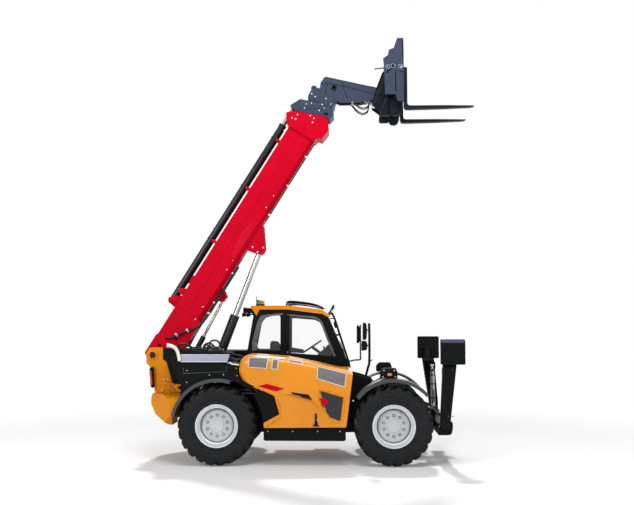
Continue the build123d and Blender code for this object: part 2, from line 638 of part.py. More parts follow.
for side_name, leg_row in legs.items():
    side = leg_row["side"]
    rod_x = leg_row["cylinder_x"]
    neck_x = leg_row["neck_x"]
    section = cross_plate([(leg_inner, leg_bottom), (leg_outer, leg_bottom), (leg_outer, leg_top), (leg_inner, leg_top)],
                          2000, 2600, 70)
    leg = side_plate(leg_row["outline"], leg_inner, leg_outer) & section
    slot_edges = [(x + leg_wall, z) for x, z in leg_row["outline"][:3]] + [(x - leg_wall, z) for x, z in leg_row["outline"][3:]]
    slot = side_plate(slot_edges, leg_inner - 1, leg_outer - leg_web)
    leg -= slot & block(2000, 2600, leg_inner - 1, leg_outer, leg_bottom, slot_top)
    leg += cross_plate([(960, 1596), (1045, 1596), (1103, 1800), (1103, 1862), (1035, 1862)], neck_x - 50, neck_x + 50, 25)
    for edge in (-1, 1):
        lug_x = rod_x + edge * (cylinder_side + 7)
        leg += cross_plate([(leg_outer - leg_web + 2, 1430), (940, 1430), (870, 1466), (858, 1500), (870, 1534), (940, 1570),
                            (leg_outer - leg_web + 2, 1570)], lug_x - 7, lug_x + 7, 12)
    leg -= bar((2100, leg_hinge[0], leg_hinge[1]), (2400, leg_hinge[0], leg_hinge[1]), leg_pin_radius + running_gap)
    leg -= bar((neck_x - 60, foot_hinge[0], foot_hinge[1]), (neck_x + 60, foot_hinge[0], foot_hinge[1]), 20 + running_gap)
    foot_x = leg_row["foot_x"]
    foot = block(foot_x - foot_half, foot_x + foot_half, foot_back, sole_y, 1628, 2033)
    foot = chamfer(foot.edges().filter_by(Axis.X).sort_by(Axis.Z)[-2:].sort_by(Axis.Y)[-1:], 34)
    foot = fillet(foot.edges().filter_by(Axis.Y), 24)
    for edge in (-1, 1):
        lug_x = neck_x + edge * 68
        foot += cross_plate([(1130, 1740), (1130, 1920), (1090, 1875), (1035, 1860), (1035, 1800), (1090, 1785)], lug_x - 11, lug_x + 11, 14)
    foot += bar((neck_x - 86, foot_hinge[0], foot_hinge[1]), (neck_x + 86, foot_hinge[0], foot_hinge[1]), 20)
    barrel, rod = cylinder(
        (rod_x, leg_cylinder_base[0], leg_cylinder_base[1]), (rod_x, leg_cylinder_pin[0], leg_cylinder_pin[1]), (1, 0, 0),
        38, 680, 20, 670, 20, 34, 34, 16, 32, 30)
    beam_part = bar((2145, leg_hinge[0], leg_hinge[1]), (2178 + leg_wall, leg_hinge[0], leg_hinge[1]), leg_pin_radius)
    beam_part += bar((2338 - leg_wall, leg_hinge[0], leg_hinge[1]), (2374, leg_hinge[0], leg_hinge[1]), leg_pin_radius)
    for low, high in ((2150, 2168), (2348, 2368)):
        beam_part += cross_plate([(880, 490), (1010, 560), (1070, 600), (1070, 680), (1010, 710), (880, 655)], low, high, 20)
    beam_part += block(2320, 2368, 860, 900, 490, 655)
    for edge in (-1, 1):
        lug_x = rod_x + edge * 52
        beam_part += cross_plate([(640, 650), (712, 800), (760, 826), (808, 800), (880, 650)], lug_x - 9, lug_x + 9, 12)
    beam_part += bar((rod_x - 61, leg_cylinder_base[0], leg_cylinder_base[1]),
                     (rod_x + 61, leg_cylinder_base[0], leg_cylinder_base[1]), 20)
    pieces = {"stabiliser_leg": leg, "stabiliser_foot": foot, "stabiliser_barrel": barrel, "stabiliser_rod": rod}
    if side < 0:
        pieces = {name: other_side(shape) for name, shape in pieces.items()}
        beam_part = other_side(beam_part)
    for name, shape in pieces.items():
        save(name + "_" + side_name, shape)
    beam += beam_part
save("stabiliser_beam", beam)

# ---------------------------------------------------------------- boom
section_table = [
    # name, half width, top, bottom, wall, rear end, front end (u)
    ("outer", boom_half_width, boom_top, boom_bottom, boom_wall, 500.0, outer_front),
    ("section_2", 172.0, 122.0, -357.0, 10.0, 640.0, 5060.0),
    ("section_3", 155.0, 105.0, -340.0, 10.0, 700.0, 5270.0),
    ("section_4", 138.0, 88.0, -323.0, 10.0, 760.0, 5460.0),
]


def section_box(half, top, bottom, u_low, u_high):
    """A boom section's outer form: a box with its two lower corners folded in."""
    fold = 0.36 * half
    outline = [(-half, top), (half, top), (half, bottom + fold), (half - fold, bottom),
               (-half + fold, bottom), (-half, bottom + fold)]
    return cross_plate(outline, u_low, u_high)


def section_tube(half, top, bottom, wall, u_low, u_high):
    outer = section_box(half, top, bottom, u_low, u_high)
    return outer - section_box(half - wall, top - wall, bottom + wall, u_low - 1, u_high + 1)


tubes = {}
for name, half, top, bottom, wall, u_low, u_high in section_table:
    tubes[name] = section_tube(half, top, bottom, wall, u_low, u_high)

base_outline = [(-120, 60), (-60, 159), (303, 161), (343, boom_top), (900, boom_top), (900, boom_bottom),
                (619, -380), (423, -394), (-40, -150), (-120, -60)]
base_plate = side_plate(base_outline, boom_half_width, boom_half_width + 22, 20)
outer = tubes["outer"] + base_plate + other_side(base_plate)
outer += block(470, 520, -boom_half_width - 5, boom_half_width + 5, boom_bottom + 10, boom_top)
outer += bar_y(0, 0, -boom_half_width - 42, boom_half_width + 42, pivot_tube_radius)
outer -= bar_y(0, 0, -400, 400, pivot_pin_radius + running_gap)
collar_outline = [(4774, 311), (4867, 225), (5062, -286), (5045, -387), (4898, -494), (4702, -472),
                  (4690, -400), (4600, -376), (4600, 140), (4626, 208)]
collar = side_plate(collar_outline, -225, 225, 12)
collar -= section_box(boom_half_width - boom_wall, boom_top - boom_wall, boom_bottom + boom_wall, 4500, 5200)
outer += collar
lug_rows = [
    # outline, inner y, outer y, pin (u, v), pin radius
    ([(2371, boom_bottom + 6), (2430, -632), (2500, -652), (2566, -640), (2927, boom_bottom + 6)], 90, 118, lift_pin, 25),
    ([(1320, boom_bottom + 6), (1400, -515), (1500, -520), (1600, boom_bottom + 6)], 52, 72, levelling_pin, 16),
]
for outline, inner, outside, pin_at, pin_size in lug_rows:
    lug_plate = side_plate(outline, inner, outside, 20)
    lug_plate += bar_y(pin_at[0], pin_at[1], inner, outside + 14, pin_size)
    outer += lug_plate + other_side(lug_plate)
tele_lug = side_plate([(860, boom_top - 5), (880, 300), (940, 345), (1010, 300), (1120, boom_top - 5)], 63, 87, 16)
outer += tele_lug + other_side(tele_lug)
outer -= bar((4500, 0, telescope_v), (5200, 0, telescope_v), 46)
save("boom_outer", on_boom(outer))

barrel = bar((900, 0, telescope_v), (4590, 0, telescope_v), 62) - bar((1000, 0, telescope_v), (4591, 0, telescope_v), 41)
save("telescope_barrel", on_boom(barrel))
tele_rod = bar((1010, 0, telescope_v), (4990, 0, telescope_v), 40)

head_2 = side_plate([(4925, 322), (5108, 232), (5152, 116), (5252, -132), (5252, -350), (5179, -423),
                     (5062, -400), (5074, -286), (4935, 75), (4882, 259)], -205, 205, 8)
head_2 -= section_box(172 - 10, 112, -347, 4800, 5400)
head_2 -= bar((4800, 0, telescope_v), (4990, 0, telescope_v), 40.5)
section_2 = tubes["section_2"] + head_2
save("boom_section_2", on_boom(section_2))
save("telescope_rod", on_boom(tele_rod))
head_3 = side_plate([(5172, 112), (5240, 150), (5393, 160), (5412, 110), (5405, 35), (5412, -310), (5329, -345),
                     (5262, -345), (5262, -132)], -172, 172, 6)
head_3 -= section_box(145, 95, -330, 5000, 5600)
save("boom_section_3", on_boom(tubes["section_3"] + head_3))
goose_outline = [(5428, 30), (5560, 92), (5682, 85), (6002, -804), (5988, -900), (5930, -952), (5839, -930),
                 (5642, -697), (5440, -385), (5428, -290)]
goose = side_plate(goose_outline, 100, 138, 14)
goose_top = side_plate([(5560, 80), (5676, 74), (5960, -720), (5938, -728), (5660, 50), (5560, 58)], -104, 104)
section_4 = tubes["section_4"] + goose + other_side(goose) + goose_top
section_4 += bar_y(tilt_base[0], tilt_base[1], -146, 146, 30)
section_4 += block(5436, 5456, -130, 130, -315, 80)
for side in (-1, 1):
    stub = bar_y(tilt_pin[0], tilt_pin[1], 100, 184, 35)
    section_4 += stub if side > 0 else other_side(stub)
save("boom_section_4", on_boom(section_4))

# ---------------------------------------------------------------- fork carriage
tx, tz = tilt_pin_at
hitch_inner = 146.0
hitch_outer = 176.0
hitch_plate = side_plate([(tx - 70, tz - 30), (tx - 50, tz + 62), (tx + 70, 6660), (1400, 6760), (1480, 6760), (1480, 5960), (1440, 5930),
                          (1290, 5930), (1240, 6000), (1130, 6080), (1130, 6150)], hitch_inner, hitch_outer, 18)
hitch_plate -= bar_y(tx, tz, 100, 200, 35 + running_gap)
hitch_plate += bar_y(tilt_rod_pin_world[0], tilt_rod_pin_world[1], hitch_inner, hitch_outer + 10, 22)
hitch = hitch_plate + other_side(hitch_plate)
for low, high in ((6640, 6730), (6180, 6260)):
    hitch += block(1395, 1480, -618, 618, low, high)
save("quick_hitch", hitch)
carriage_outline = [
    (1542, 7132), (1650, 7132), (1654, 6600), (1654, 6050), (1540, 6050), (1520, 6162), (1333, 6162),
    (1325, 6573), (1302, 6780), (1386, 6840), (1398, 6927), (1482, 6962),
]
cheek = side_plate(carriage_outline, 618, 648, 8)
cheek -= block(1503, 1523, 600, 660, 6209, 6573)
for hole_x, hole_z in ((1385, 6640), (1470, 6650), (1600, 6640)):
    cheek -= bar_y(hole_x, hole_z, 600, 660, 22)
carriage = cheek + other_side(cheek)
carriage += block(1580, 1654, -620, 620, 6500, 6580)
carriage += block(1580, 1654, -620, 620, 6060, 6140)
for side in (-1, 1):
    for y in (300, 150):
        carriage += block(1480, 1590, side * y - 12, side * y + 12, 6060, 6700)
save("fork_carriage", carriage)
fork = side_plate([(1656, 6583), (1600, 6583), (1600, 6630), (1712, 6650), (1712, 5975), (2844, 5975), (2844, 5958),
                   (1680, 5915), (1656, 5935)], 470, 610)
save("forks", fork, other_side(fork))
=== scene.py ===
import bpy, bmesh, json, math
from mathutils import Matrix, Vector
from mathutils.bvhtree import BVHTree


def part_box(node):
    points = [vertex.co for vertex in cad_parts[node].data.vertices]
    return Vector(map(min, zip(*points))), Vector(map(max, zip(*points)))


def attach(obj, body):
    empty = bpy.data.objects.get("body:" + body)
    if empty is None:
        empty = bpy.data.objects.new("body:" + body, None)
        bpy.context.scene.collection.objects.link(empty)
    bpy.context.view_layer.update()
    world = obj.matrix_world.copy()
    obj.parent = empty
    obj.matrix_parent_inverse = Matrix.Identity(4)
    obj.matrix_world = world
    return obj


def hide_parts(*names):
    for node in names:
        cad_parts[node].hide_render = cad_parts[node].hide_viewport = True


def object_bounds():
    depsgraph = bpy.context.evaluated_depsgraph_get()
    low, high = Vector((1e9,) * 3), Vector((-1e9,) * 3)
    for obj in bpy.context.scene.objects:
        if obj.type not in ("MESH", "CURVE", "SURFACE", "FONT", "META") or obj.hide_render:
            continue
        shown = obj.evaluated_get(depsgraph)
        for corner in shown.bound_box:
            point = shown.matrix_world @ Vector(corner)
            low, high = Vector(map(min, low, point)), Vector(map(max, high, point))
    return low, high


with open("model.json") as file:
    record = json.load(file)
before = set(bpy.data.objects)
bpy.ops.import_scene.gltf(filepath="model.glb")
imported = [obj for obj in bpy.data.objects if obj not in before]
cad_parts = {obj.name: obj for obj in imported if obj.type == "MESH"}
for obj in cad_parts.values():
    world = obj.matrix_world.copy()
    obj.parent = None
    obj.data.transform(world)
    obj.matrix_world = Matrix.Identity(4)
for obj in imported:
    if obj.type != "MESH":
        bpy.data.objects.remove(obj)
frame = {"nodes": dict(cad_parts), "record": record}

cadBox = [list(c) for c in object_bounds()]
nodes = frame["nodes"]
scene = bpy.context.scene

# boom lines are given as (along, above) from the boom's pivot, in millimetres
boom = {"pivot": (-2644, 1743), "angle": math.radians(58)}


def onBoom(along, above):
    c, s = math.cos(boom["angle"]), math.sin(boom["angle"])
    x, z = boom["pivot"]
    return Vector((x + along * c - above * s, 0, z + along * s + above * c)) / 1000


def level(x, z):
    return Vector((x / 1000, 0, z / 1000))


def add(name, data):
    thing = bpy.data.objects.new(name, data)
    scene.collection.objects.link(thing)
    return thing


def turnTo(thing, way):  # turns a lamp or a camera to look along a line
    thing.rotation_euler = Vector(way).to_track_quat("-Z", "Y").to_euler()


# the camera stands to the machine's right, a little low
view = {"spot": (0.6443, -15.70, 2.3895), "yaw": 1.778, "pitch": 4.103, "lens": 51.05}
camera = add("camera", bpy.data.cameras.new("camera"))
camera.data.lens, camera.data.sensor_width, camera.data.clip_end = view["lens"], 36, 200
yaw, pitch = math.radians(view["yaw"]), math.radians(view["pitch"])
camera.location = view["spot"]
turnTo(camera, (-math.sin(yaw) * math.cos(pitch), math.cos(yaw) * math.cos(pitch), math.sin(pitch)))
scene.camera = camera


class Wire:  # one output socket, used in plain sums
    def __init__(self, owner, socket):
        self.owner, self.socket = owner, socket

    def sum(self, operation, other, flip=False):
        pair = (other, self) if flip else (self, other)
        return self.owner.node("Math", {"operation": operation}, {0: pair[0], 1: pair[1]})

    def __add__(self, other):
        return self.sum("ADD", other)

    def __radd__(self, other):
        return self.sum("ADD", other, True)

    def __sub__(self, other):
        return self.sum("SUBTRACT", other)

    def __rsub__(self, other):
        return self.sum("SUBTRACT", other, True)

    def __mul__(self, other):
        return self.sum("MULTIPLY", other)

    def __rmul__(self, other):
        return self.sum("MULTIPLY", other, True)


class Nodes:  # a node tree, and the one way that nodes are added to it
    def __init__(self, tree):
        self.tree = tree

    def node(self, kind, settings=None, sockets=None, out=0):
        made = self.tree.nodes.new("ShaderNode" + kind)
        for key, value in (settings or {}).items():
            setattr(made, key, value)
        for key, value in (sockets or {}).items():
            socket = made.inputs[key]
            if isinstance(value, Wire):
                self.tree.links.new(value.socket, socket)
            else:
                plainColour = isinstance(value, tuple) and len(value) == 3 and socket.type == "RGBA"
                socket.default_value = (*value, 1) if plainColour else value
        return Wire(self, made.outputs[out])

    def plainly(self):  # 1 where the camera, a reflection or glass looks at it
        camera, gloss, glass = [self.node("LightPath", out=f"Is {ray} Ray")
                                for ray in ("Camera", "Glossy", "Transmission")]
        return camera.sum("MAXIMUM", gloss).sum("MAXIMUM", glass)

    def show(self, output, wire):
        self.tree.links.new(wire.socket, self.tree.nodes[output].inputs["Surface"])


class Paint(Nodes):  # a material and its nodes
    def __init__(self, name, **fixed):
        self.material = bpy.data.materials.new(name)
        self.material.use_nodes = True
        super().__init__(self.material.node_tree)
        self.shader = self.tree.nodes["Principled BSDF"]
        for key, value in fixed.items():
            self.shader.inputs[key.replace("_", " ")].default_value = value

    def feed(self, name, wire):
        self.tree.links.new(wire.socket, self.shader.inputs[name])

    def place(self):  # metres, in the machine's own frame
        return self.node("TexCoord", out="Object")

    def noise(self, scale, detail=3.0, stretch=None):
        spot = self.place()
        if stretch:
            spot = self.node("Mapping", sockets={"Vector": spot, "Scale": stretch})
        return self.node("TexNoise", sockets={"Vector": spot, "Scale": scale, "Detail": detail})

    def band(self, wire, low, high):
        return self.node("MapRange", {"interpolation_type": "SMOOTHSTEP"},
                         {"Value": wire, "From Min": low, "From Max": high})

    def patches(self, scale, detail, low, high):
        return self.band(self.noise(scale, detail), low, high)

    def mix(self, share, first, second):
        return self.node("Mix", {"data_type": "RGBA"}, {0: share, 6: first, 7: second}, out=2)

    def shades(self, share, colour, change):  # from a colour to a darker or a lighter one of its own
        return self.mix(share, colour, tuple(c * change for c in colour))

    def bump(self, height, strength, depth):
        return self.node("Bump", {}, {"Height": height, "Strength": strength, "Distance": depth})

    def upward(self):
        return self.node("SeparateXYZ", {}, {0: self.node("NewGeometry", out="Normal")}, out=2)


finishes = {
    # name: colour, roughness, coat, dust share, orange peel, shine
    "boomRed": ((0.52, 0.0008, 0.0150), 0.34, 0.0, 0.006, 0.08, 0.035),
    "slate": ((0.036, 0.048, 0.082), 0.42, 0.0, 0.03, 0.10, 0.12),
    "orange": ((0.72, 0.245, 0.0045), 0.30, 0.05, 0.008, 0.06, 0.06),
    "hoodOrange": ((0.72, 0.250, 0.0040), 0.26, 0.55, 0.008, 0.05, 0.10),
    "rimBright": ((0.86, 0.88, 0.91), 0.30, 0.20, 0.02, 0.06, 0.4),
    "frameBlack": ((0.0052, 0.0066, 0.0066), 0.42, 0.0, 0.02, 0.14, 0.06),
    "cylinderBlack": ((0.0065, 0.0080, 0.0100), 0.28, 0.10, 0.02, 0.06, 0.25),
    "barrelGrey": ((0.36, 0.36, 0.44), 0.36, 0.10, 0.05, 0.06, 0.4),
    # stripGrey on the deck box is a painted reflection, a light grey for the sky seen in the box's black
    # sloped top
    "stripGrey": ((0.34, 0.34, 0.46), 0.45, 0.0, 0.04, 0.06, 0.4),
    "rimSilver": ((0.53, 0.55, 0.56), 0.34, 0.10, 0.03, 0.10, 0.4),
    "forkBlack": ((0.0070, 0.0090, 0.0140), 0.44, 0.0, 0.03, 0.13, 0.10),
    "fenderGrey": ((0.034, 0.037, 0.044), 0.34, 0.15, 0.05, 0.08, 0.4),
    # the feet's lavender-blue top strip is a painted highlight, for the light from above on their black
    # chamfers
    "footTopHighlight": ((0.060, 0.058, 0.125), 0.38, 0.0, 0.03, 0.10, 0.25),
    "iron": ((0.05, 0.05, 0.055), 0.6, 0.0, 0.10, 0.5, 0.3),
    "meshGrey": ((0.27, 0.26, 0.29), 0.50, 0.0, 0.04, 0.1, 0.3),
    "trimGrey": ((0.115, 0.115, 0.125), 0.60, 0.0, 0.04, 0.3, 0.3),
    # cream on the grille rims is a painted highlight, for the light on the hood's orange panel edges
    "cream": ((0.70, 0.67, 0.60), 0.30, 0.2, 0.05, 0.1, 0.5),
    "white": ((0.72, 0.72, 0.72), 0.45, 0.0, 0.03, 0.1, 0.4),
}
dirt = {"paint": (0.30, 0.27, 0.23), "plastic": (0.25, 0.23, 0.2), "tyre": (0.040, 0.038, 0.037)}


def painted(name, colour, rough, coat, dust, peel, shine):
    p = Paint(name, Coat_Roughness=0.12, Specular_IOR_Level=shine)
    cloud = p.noise(1.7, 4)
    settled = p.band(p.upward(), 0.35, 0.95) * p.band(cloud, 0.35, 0.7) * dust
    height = p.node("SeparateXYZ", {}, {0: p.place()}, out=2)
    soiled = settled + p.band(height, 1.3, 0.2) * p.patches(5, 6, 0.4, 0.75) * (dust * 1.4)
    p.feed("Base Color", p.mix(soiled, p.shades(p.band(cloud, 0.3, 0.7), colour, 0.90), dirt["paint"]))
    p.feed("Roughness", rough + p.patches(14, 5, 0.3, 0.7) * 0.08 + soiled * 0.9)
    if coat:
        p.feed("Coat Weight", coat - soiled * 0.5)
    p.feed("Normal", p.bump(p.noise(900, 2) + p.noise(60, 2) * 1.5, peel, 0.0006))
    return p.material


def steelRod(name, colour):
    p = Paint(name, Metallic=1.0)
    smear = p.noise(7, 5, stretch=(1, 1, 0.25))
    p.feed("Base Color", p.shades(p.band(smear, 0.35, 0.7), colour, 0.86))
    p.feed("Roughness", 0.16 + p.band(smear, 0.3, 0.8) * 0.12)
    p.feed("Normal", p.bump(p.noise(1500, 2), 0.05, 0.0003))
    return p.material


def moulded(name, colour, rough, grain, scale, shine):
    p = Paint(name, Specular_IOR_Level=shine)
    cloud = p.noise(3, 4)
    dusty = p.band(p.upward(), 0.3, 1.0) * p.band(cloud, 0.35, 0.7) * 0.05
    p.feed("Base Color", p.mix(dusty, p.shades(cloud, colour, 0.8), dirt["plastic"]))
    p.feed("Roughness", rough + p.patches(20, 4, 0.3, 0.7) * 0.1)
    p.feed("Normal", p.bump(p.node("TexVoronoi", {}, {"Vector": p.place(), "Scale": scale}), grain, 0.0005))
    return p.material


def tyreRubber(name, colour):
    p = Paint(name, Specular_IOR_Level=0.16)
    p.feed("Base Color", p.mix(p.patches(6, 6, 0.42, 0.72) * 0.12, colour, dirt["tyre"]))
    p.feed("Roughness", 0.58 + p.patches(30, 4, 0.3, 0.7) * 0.18)
    p.feed("Normal", p.bump(p.noise(350, 4), 0.25, 0.0010))
    return p.material


def clearGlass(name, tint, clear, shine):
    p = Paint(name, IOR=1.45, Specular_IOR_Level=shine)
    smear = p.noise(2.2, 5)
    p.feed("Roughness", 0.02 + p.band(smear, 0.45, 0.8) * 0.05)
    p.feed("Alpha", clear + p.band(smear, 0.4, 0.8) * 0.02)
    p.feed("Base Color", p.shades(p.band(smear, 0.3, 0.8), tint, 0.92))
    return p.material


def lens(name, colour):  # a ribbed lamp lens
    p = Paint(name, Specular_IOR_Level=0.5)
    ribs = p.node("TexWave", {}, {"Vector": p.place(), "Scale": 45, "Distortion": 0.0})
    p.feed("Base Color", p.shades(ribs, colour, 0.7))
    p.feed("Roughness", 0.14 + p.noise(40) * 0.1)
    p.feed("Coat Weight", 0.3 + p.noise(9) * 0.3)
    p.feed("Normal", p.bump(ribs, 0.25, 0.0008))
    return p.material


def sewnVinyl(name, colour):
    p = Paint(name, Specular_IOR_Level=0.3)
    weave = p.node("TexVoronoi", {}, {"Vector": p.place(), "Scale": 320})
    fold = p.noise(9, 5)
    p.feed("Base Color", p.shades(p.band(fold, 0.35, 0.7), colour, 1.35))
    p.feed("Roughness", 0.52 + p.band(fold, 0.3, 0.8) * 0.14)
    p.feed("Normal", p.bump(weave + fold * 2.0, 0.35, 0.0008))
    return p.material


look = {name: painted(name, *settings) for name, settings in finishes.items()}
for finish, name, *settings in (
    (steelRod, "rod", (0.46, 0.47, 0.46)),
    (steelRod, "bareSteel", (0.55, 0.56, 0.58)),
    (steelRod, "mirror", (0.80, 0.82, 0.84)),
    # colour, roughness, grain, its scale, shine
    (moulded, "plastic", (0.0060, 0.0072, 0.0072), 0.55, 0.25, 500, 0.06),
    (moulded, "rubber", (0.0085, 0.0085, 0.0095), 0.6, 0.15, 900, 0.25),
    (moulded, "hose", (0.008, 0.009, 0.010), 0.45, 0.3, 1300, 0.25),
    (moulded, "hoodGlass", (0.034, 0.040, 0.040), 0.30, 0.02, 200, 0.12),
    (tyreRubber, "tyre", (0.0085, 0.0092, 0.0110)),
    (clearGlass, "glass", (0.86, 0.90, 0.90), 0.03, 0.12),
    (sewnVinyl, "vinyl", (0.014, 0.013, 0.018)),
    (lens, "redLens", (0.62, 0.012, 0.015)),
    (lens, "amberLens", (0.85, 0.24, 0.01)),
    (lens, "greenLens", (0.004, 0.27, 0.05)),
    (lens, "clearLens", (0.70, 0.72, 0.74)),
):
    look[name] = finish(name, *settings)

slotLook = {"boom_red": "boomRed", "head_slate": "slate", "body_orange": "orange",
            "frame_black": "frameBlack", "panel_black": "plastic", "fender_grey": "fenderGrey",
            "rim_silver": "rimSilver", "tyre": "tyre",
            "glass": "glass", "rod_chrome": "rod", "cylinder_black": "cylinderBlack",
            "fork_steel": "forkBlack", "barrel_grey": "barrelGrey", "seat_vinyl": "vinyl",
            "lamp": "plastic", "engine": "iron"}
nodeLook = {entry["node"]: slotLook[entry["material_slot"]] for entry in frame["record"]["subparts"]}
nodeLook |= {"engine_hood": "hoodOrange", "cab_door": "frameBlack"}
for node, name in nodeLook.items():
    nodes[node].data.materials.clear()
    nodes[node].data.materials.append(look[name])


def softenNode(mesh, limit=38):  # rounds the light over curved CAD faces, never the shape
    spots, corners = {}, {}
    for face in mesh.polygons:
        for vert in face.vertices:
            if vert not in spots:
                spots[vert] = tuple(round(c, 5) for c in mesh.vertices[vert].co)
            corners.setdefault(spots[vert], []).append((face.normal, face.area))
    cosLimit = math.cos(math.radians(limit))
    normals = []
    for face in mesh.polygons:
        for vert in face.vertices:
            total = Vector()
            for normal, area in corners[spots[vert]]:
                if normal.dot(face.normal) > cosLimit:
                    total += normal * area
            normals.append(total.normalized() if total.length > 0 else face.normal)
    mesh.polygons.foreach_set("use_smooth", [True] * len(mesh.polygons))
    mesh.normals_split_custom_set(normals)


for node in nodes.values():
    softenNode(node.data)
print("finishes laid on", len(nodes), "nodes")

hoodMesh = nodes["engine_hood"].data
hoodFaces = BVHTree.FromPolygons([v.co.copy() for v in hoodMesh.vertices],
                                 [tuple(p.vertices) for p in hoodMesh.polygons])
nearSide = (-1,)


def onHood(x, z):  # the hood's near face at a side point, in metres
    return hoodFaces.ray_cast(Vector((x / 1000, -5, z / 1000)), Vector((0, 1, 0)))[0]


def between(a, b, t):
    return tuple(p + (q - p) * t for p, q in zip(a, b))


def oblong(x0, x1, z0, z1):
    return [(x0, z0), (x1, z0), (x1, z1), (x0, z1)]


def circle(count, turn=0.0):
    return [turn + 2 * math.pi * k / count for k in range(count)]


class Shape:  # gathers simple forms into one piece, from millimetre points
    def __init__(self, line=level):
        self.bm, self.line = bmesh.new(), line

    def spot(self, x, y, z):  # a point in metres
        return self.line(x, z) + Vector((0, y / 1000, 0))

    def way(self, axis):  # a direction, which turns with the boom if the shape does
        return (self.spot(*[1000 * part for part in axis]) - self.spot(0, 0, 0)).normalized()

    def loft(self, rings, closed=False):  # rings of equal count, skinned in order
        made = [[self.bm.verts.new(p) for p in ring] for ring in rings]
        count = len(made[0])
        for first, second in zip(made, made[1:] + made[:1] if closed else made[1:]):
            for i in range(count):
                self.bm.faces.new([first[i], first[(i + 1) % count], second[(i + 1) % count], second[i]])
        if not closed:
            self.bm.faces.new(made[0][::-1])
            self.bm.faces.new(made[-1])
        return self

    def side(self, outline, low, high):  # a plate, from its outline seen from the side
        return self.loft([[self.spot(x, y, z) for x, z in outline] for y in (low, high)])

    def pair(self, outline, near, far):  # the same plate on both sides of the middle
        return self.side(outline, near, far).side(outline, -near, -far)

    def plates(self, outline, middles, half):
        for y in middles:
            self.side(outline, y - half, y + half)
        return self

    def band(self, outer, inner, low, high):  # a frame between two lines of equal count
        for a, b, c, d in zip(outer, outer[1:], inner[1:], inner):
            self.side([a, b, c, d], low, high)

    def box(self, x0, x1, y0, y1, z0, z1):
        return self.side(oblong(x0, x1, z0, z1), y0, y1)

    def hoop(self, centre, side, up, radius, turns):
        return [centre + (side * math.cos(a) + up * math.sin(a)) * radius for a in turns]

    def ring(self, centre, way, radius, sides, turn=0.0):  # metres
        side = Vector((1, 0, 0)) if abs(way.y) > 0.9 else way.orthogonal().normalized()
        side = (side - way * side.dot(way)).normalized()
        return self.hoop(centre, side, way.cross(side), radius, circle(sides, turn))

    def lathe(self, spot, axis, profile, sides=24, hollow=False):  # from (radius, along) points
        centre, way = self.spot(*spot), self.way(axis)
        return self.loft([self.ring(centre + way * (along / 1000), way, max(radius / 1000, 0.0002), sides)
                          for radius, along in profile], hollow)

    def eyes(self, spots, across, profile, sides=24, hollow=False):  # turned forms on both sides
        for side in (-1, 1):
            for x, z in spots:
                self.lathe((x, side * across, z), (0, side, 0), profile, sides, hollow)
        return self

    def bolt(self, spot, axis, size):  # a hexagon head on a washer
        self.lathe(spot, axis, [(size * 0.75, -2), (size * 0.75, size * 0.12)], 14)
        head = [(size * 0.58, 0), (size * 0.58, size * 0.38), (size * 0.48, size * 0.46)]
        return self.lathe(spot, axis, head, 6)

    def bolts(self, spots, across, size, sides=(-1, 1)):
        for side in sides:
            for x, z in spots:
                self.bolt((x, side * across, z), (0, side, 0), size)
        return self

    def hose(self, path, radius, sides, steps, loop=False):  # a bent round line, in metres
        points = [Vector(p) for p in path]
        if loop:
            points = points + points[:1]
        if len(points) > 2:
            before = points[-2] if loop else points[0] * 2 - points[1]
            after = points[1] if loop else points[-1] * 2 - points[-2]
            ends, fine = [before] + points + [after], []
            for a, b, c, d in zip(ends, ends[1:], ends[2:], ends[3:]):
                for k in range(steps):
                    t = k / steps
                    bend = (2 * a - 5 * b + 4 * c - d) * t * t + (3 * b - a - 3 * c + d) * t ** 3
                    fine.append(0.5 * (2 * b + (c - a) * t + bend))
            points = fine if loop else fine + [points[-1]]
        rings, side, count = [], None, len(points)
        for i, p in enumerate(points):
            if loop:
                way = (points[(i + 1) % count] - points[i - 1]).normalized()
            else:
                way = (points[min(i + 1, count - 1)] - points[max(i - 1, 0)]).normalized()
            side = (way.orthogonal() if side is None else side - way * side.dot(way)).normalized()
            rings.append(self.hoop(p, side, way.cross(side), radius, circle(sides)))
        return self.loft(rings, closed=loop)

    def tube(self, points, radius, sides=12, steps=6, loop=False):  # the same from millimetre points
        return self.hose([self.spot(*p) for p in points], radius / 1000, sides, steps, loop)

    def rails(self, path, places, radius, sides=12, steps=6):  # the same tube at several places across
        for y in places:
            self.tube([(x, y, z) for x, z in path], radius, sides, steps)
        return self

    def twin(self, points, radius, sides=12, steps=6):  # a tube and its mirror image
        for side in (-1, 1):
            self.tube([(x, side * y, z) for x, y, z in points], radius, sides, steps)
        return self

    def bars(self, spots, low, high, radius, sides=10):  # straight across the machine
        for x, z in spots:
            self.tube([(x, low, z), (x, high, z)], radius, sides)
        return self

    def skin(self, corners, lift, sink=6, across=8, up=8):  # a thin sheet laid on the hood
        a, b, c, d = corners
        front, back = [], []
        for j in range(up + 1):
            row = []
            for i in range(across + 1):
                x, z = between(between(a, b, i / across), between(d, c, i / across), j / up)
                row.append(onHood(x, z) or (row[-1] if row else Vector((x, -1300, z)) / 1000))
            front.append([self.bm.verts.new(p - Vector((0, lift / 1000, 0))) for p in row])
            back.append([self.bm.verts.new(p + Vector((0, sink / 1000, 0))) for p in row])
        for j in range(up):
            for i in range(across):
                self.bm.faces.new([front[j][i], front[j][i + 1], front[j + 1][i + 1], front[j + 1][i]])
                self.bm.faces.new([back[j][i], back[j + 1][i], back[j + 1][i + 1], back[j][i + 1]])
        edge = [(0, i) for i in range(across)] + [(j, across) for j in range(up)]
        edge += [(up, across - i) for i in range(across)] + [(up - j, 0) for j in range(up)]
        for (j, i), (m, n) in zip(edge, edge[1:] + edge[:1]):
            self.bm.faces.new([front[j][i], back[j][i], back[m][n], front[m][n]])
        return self

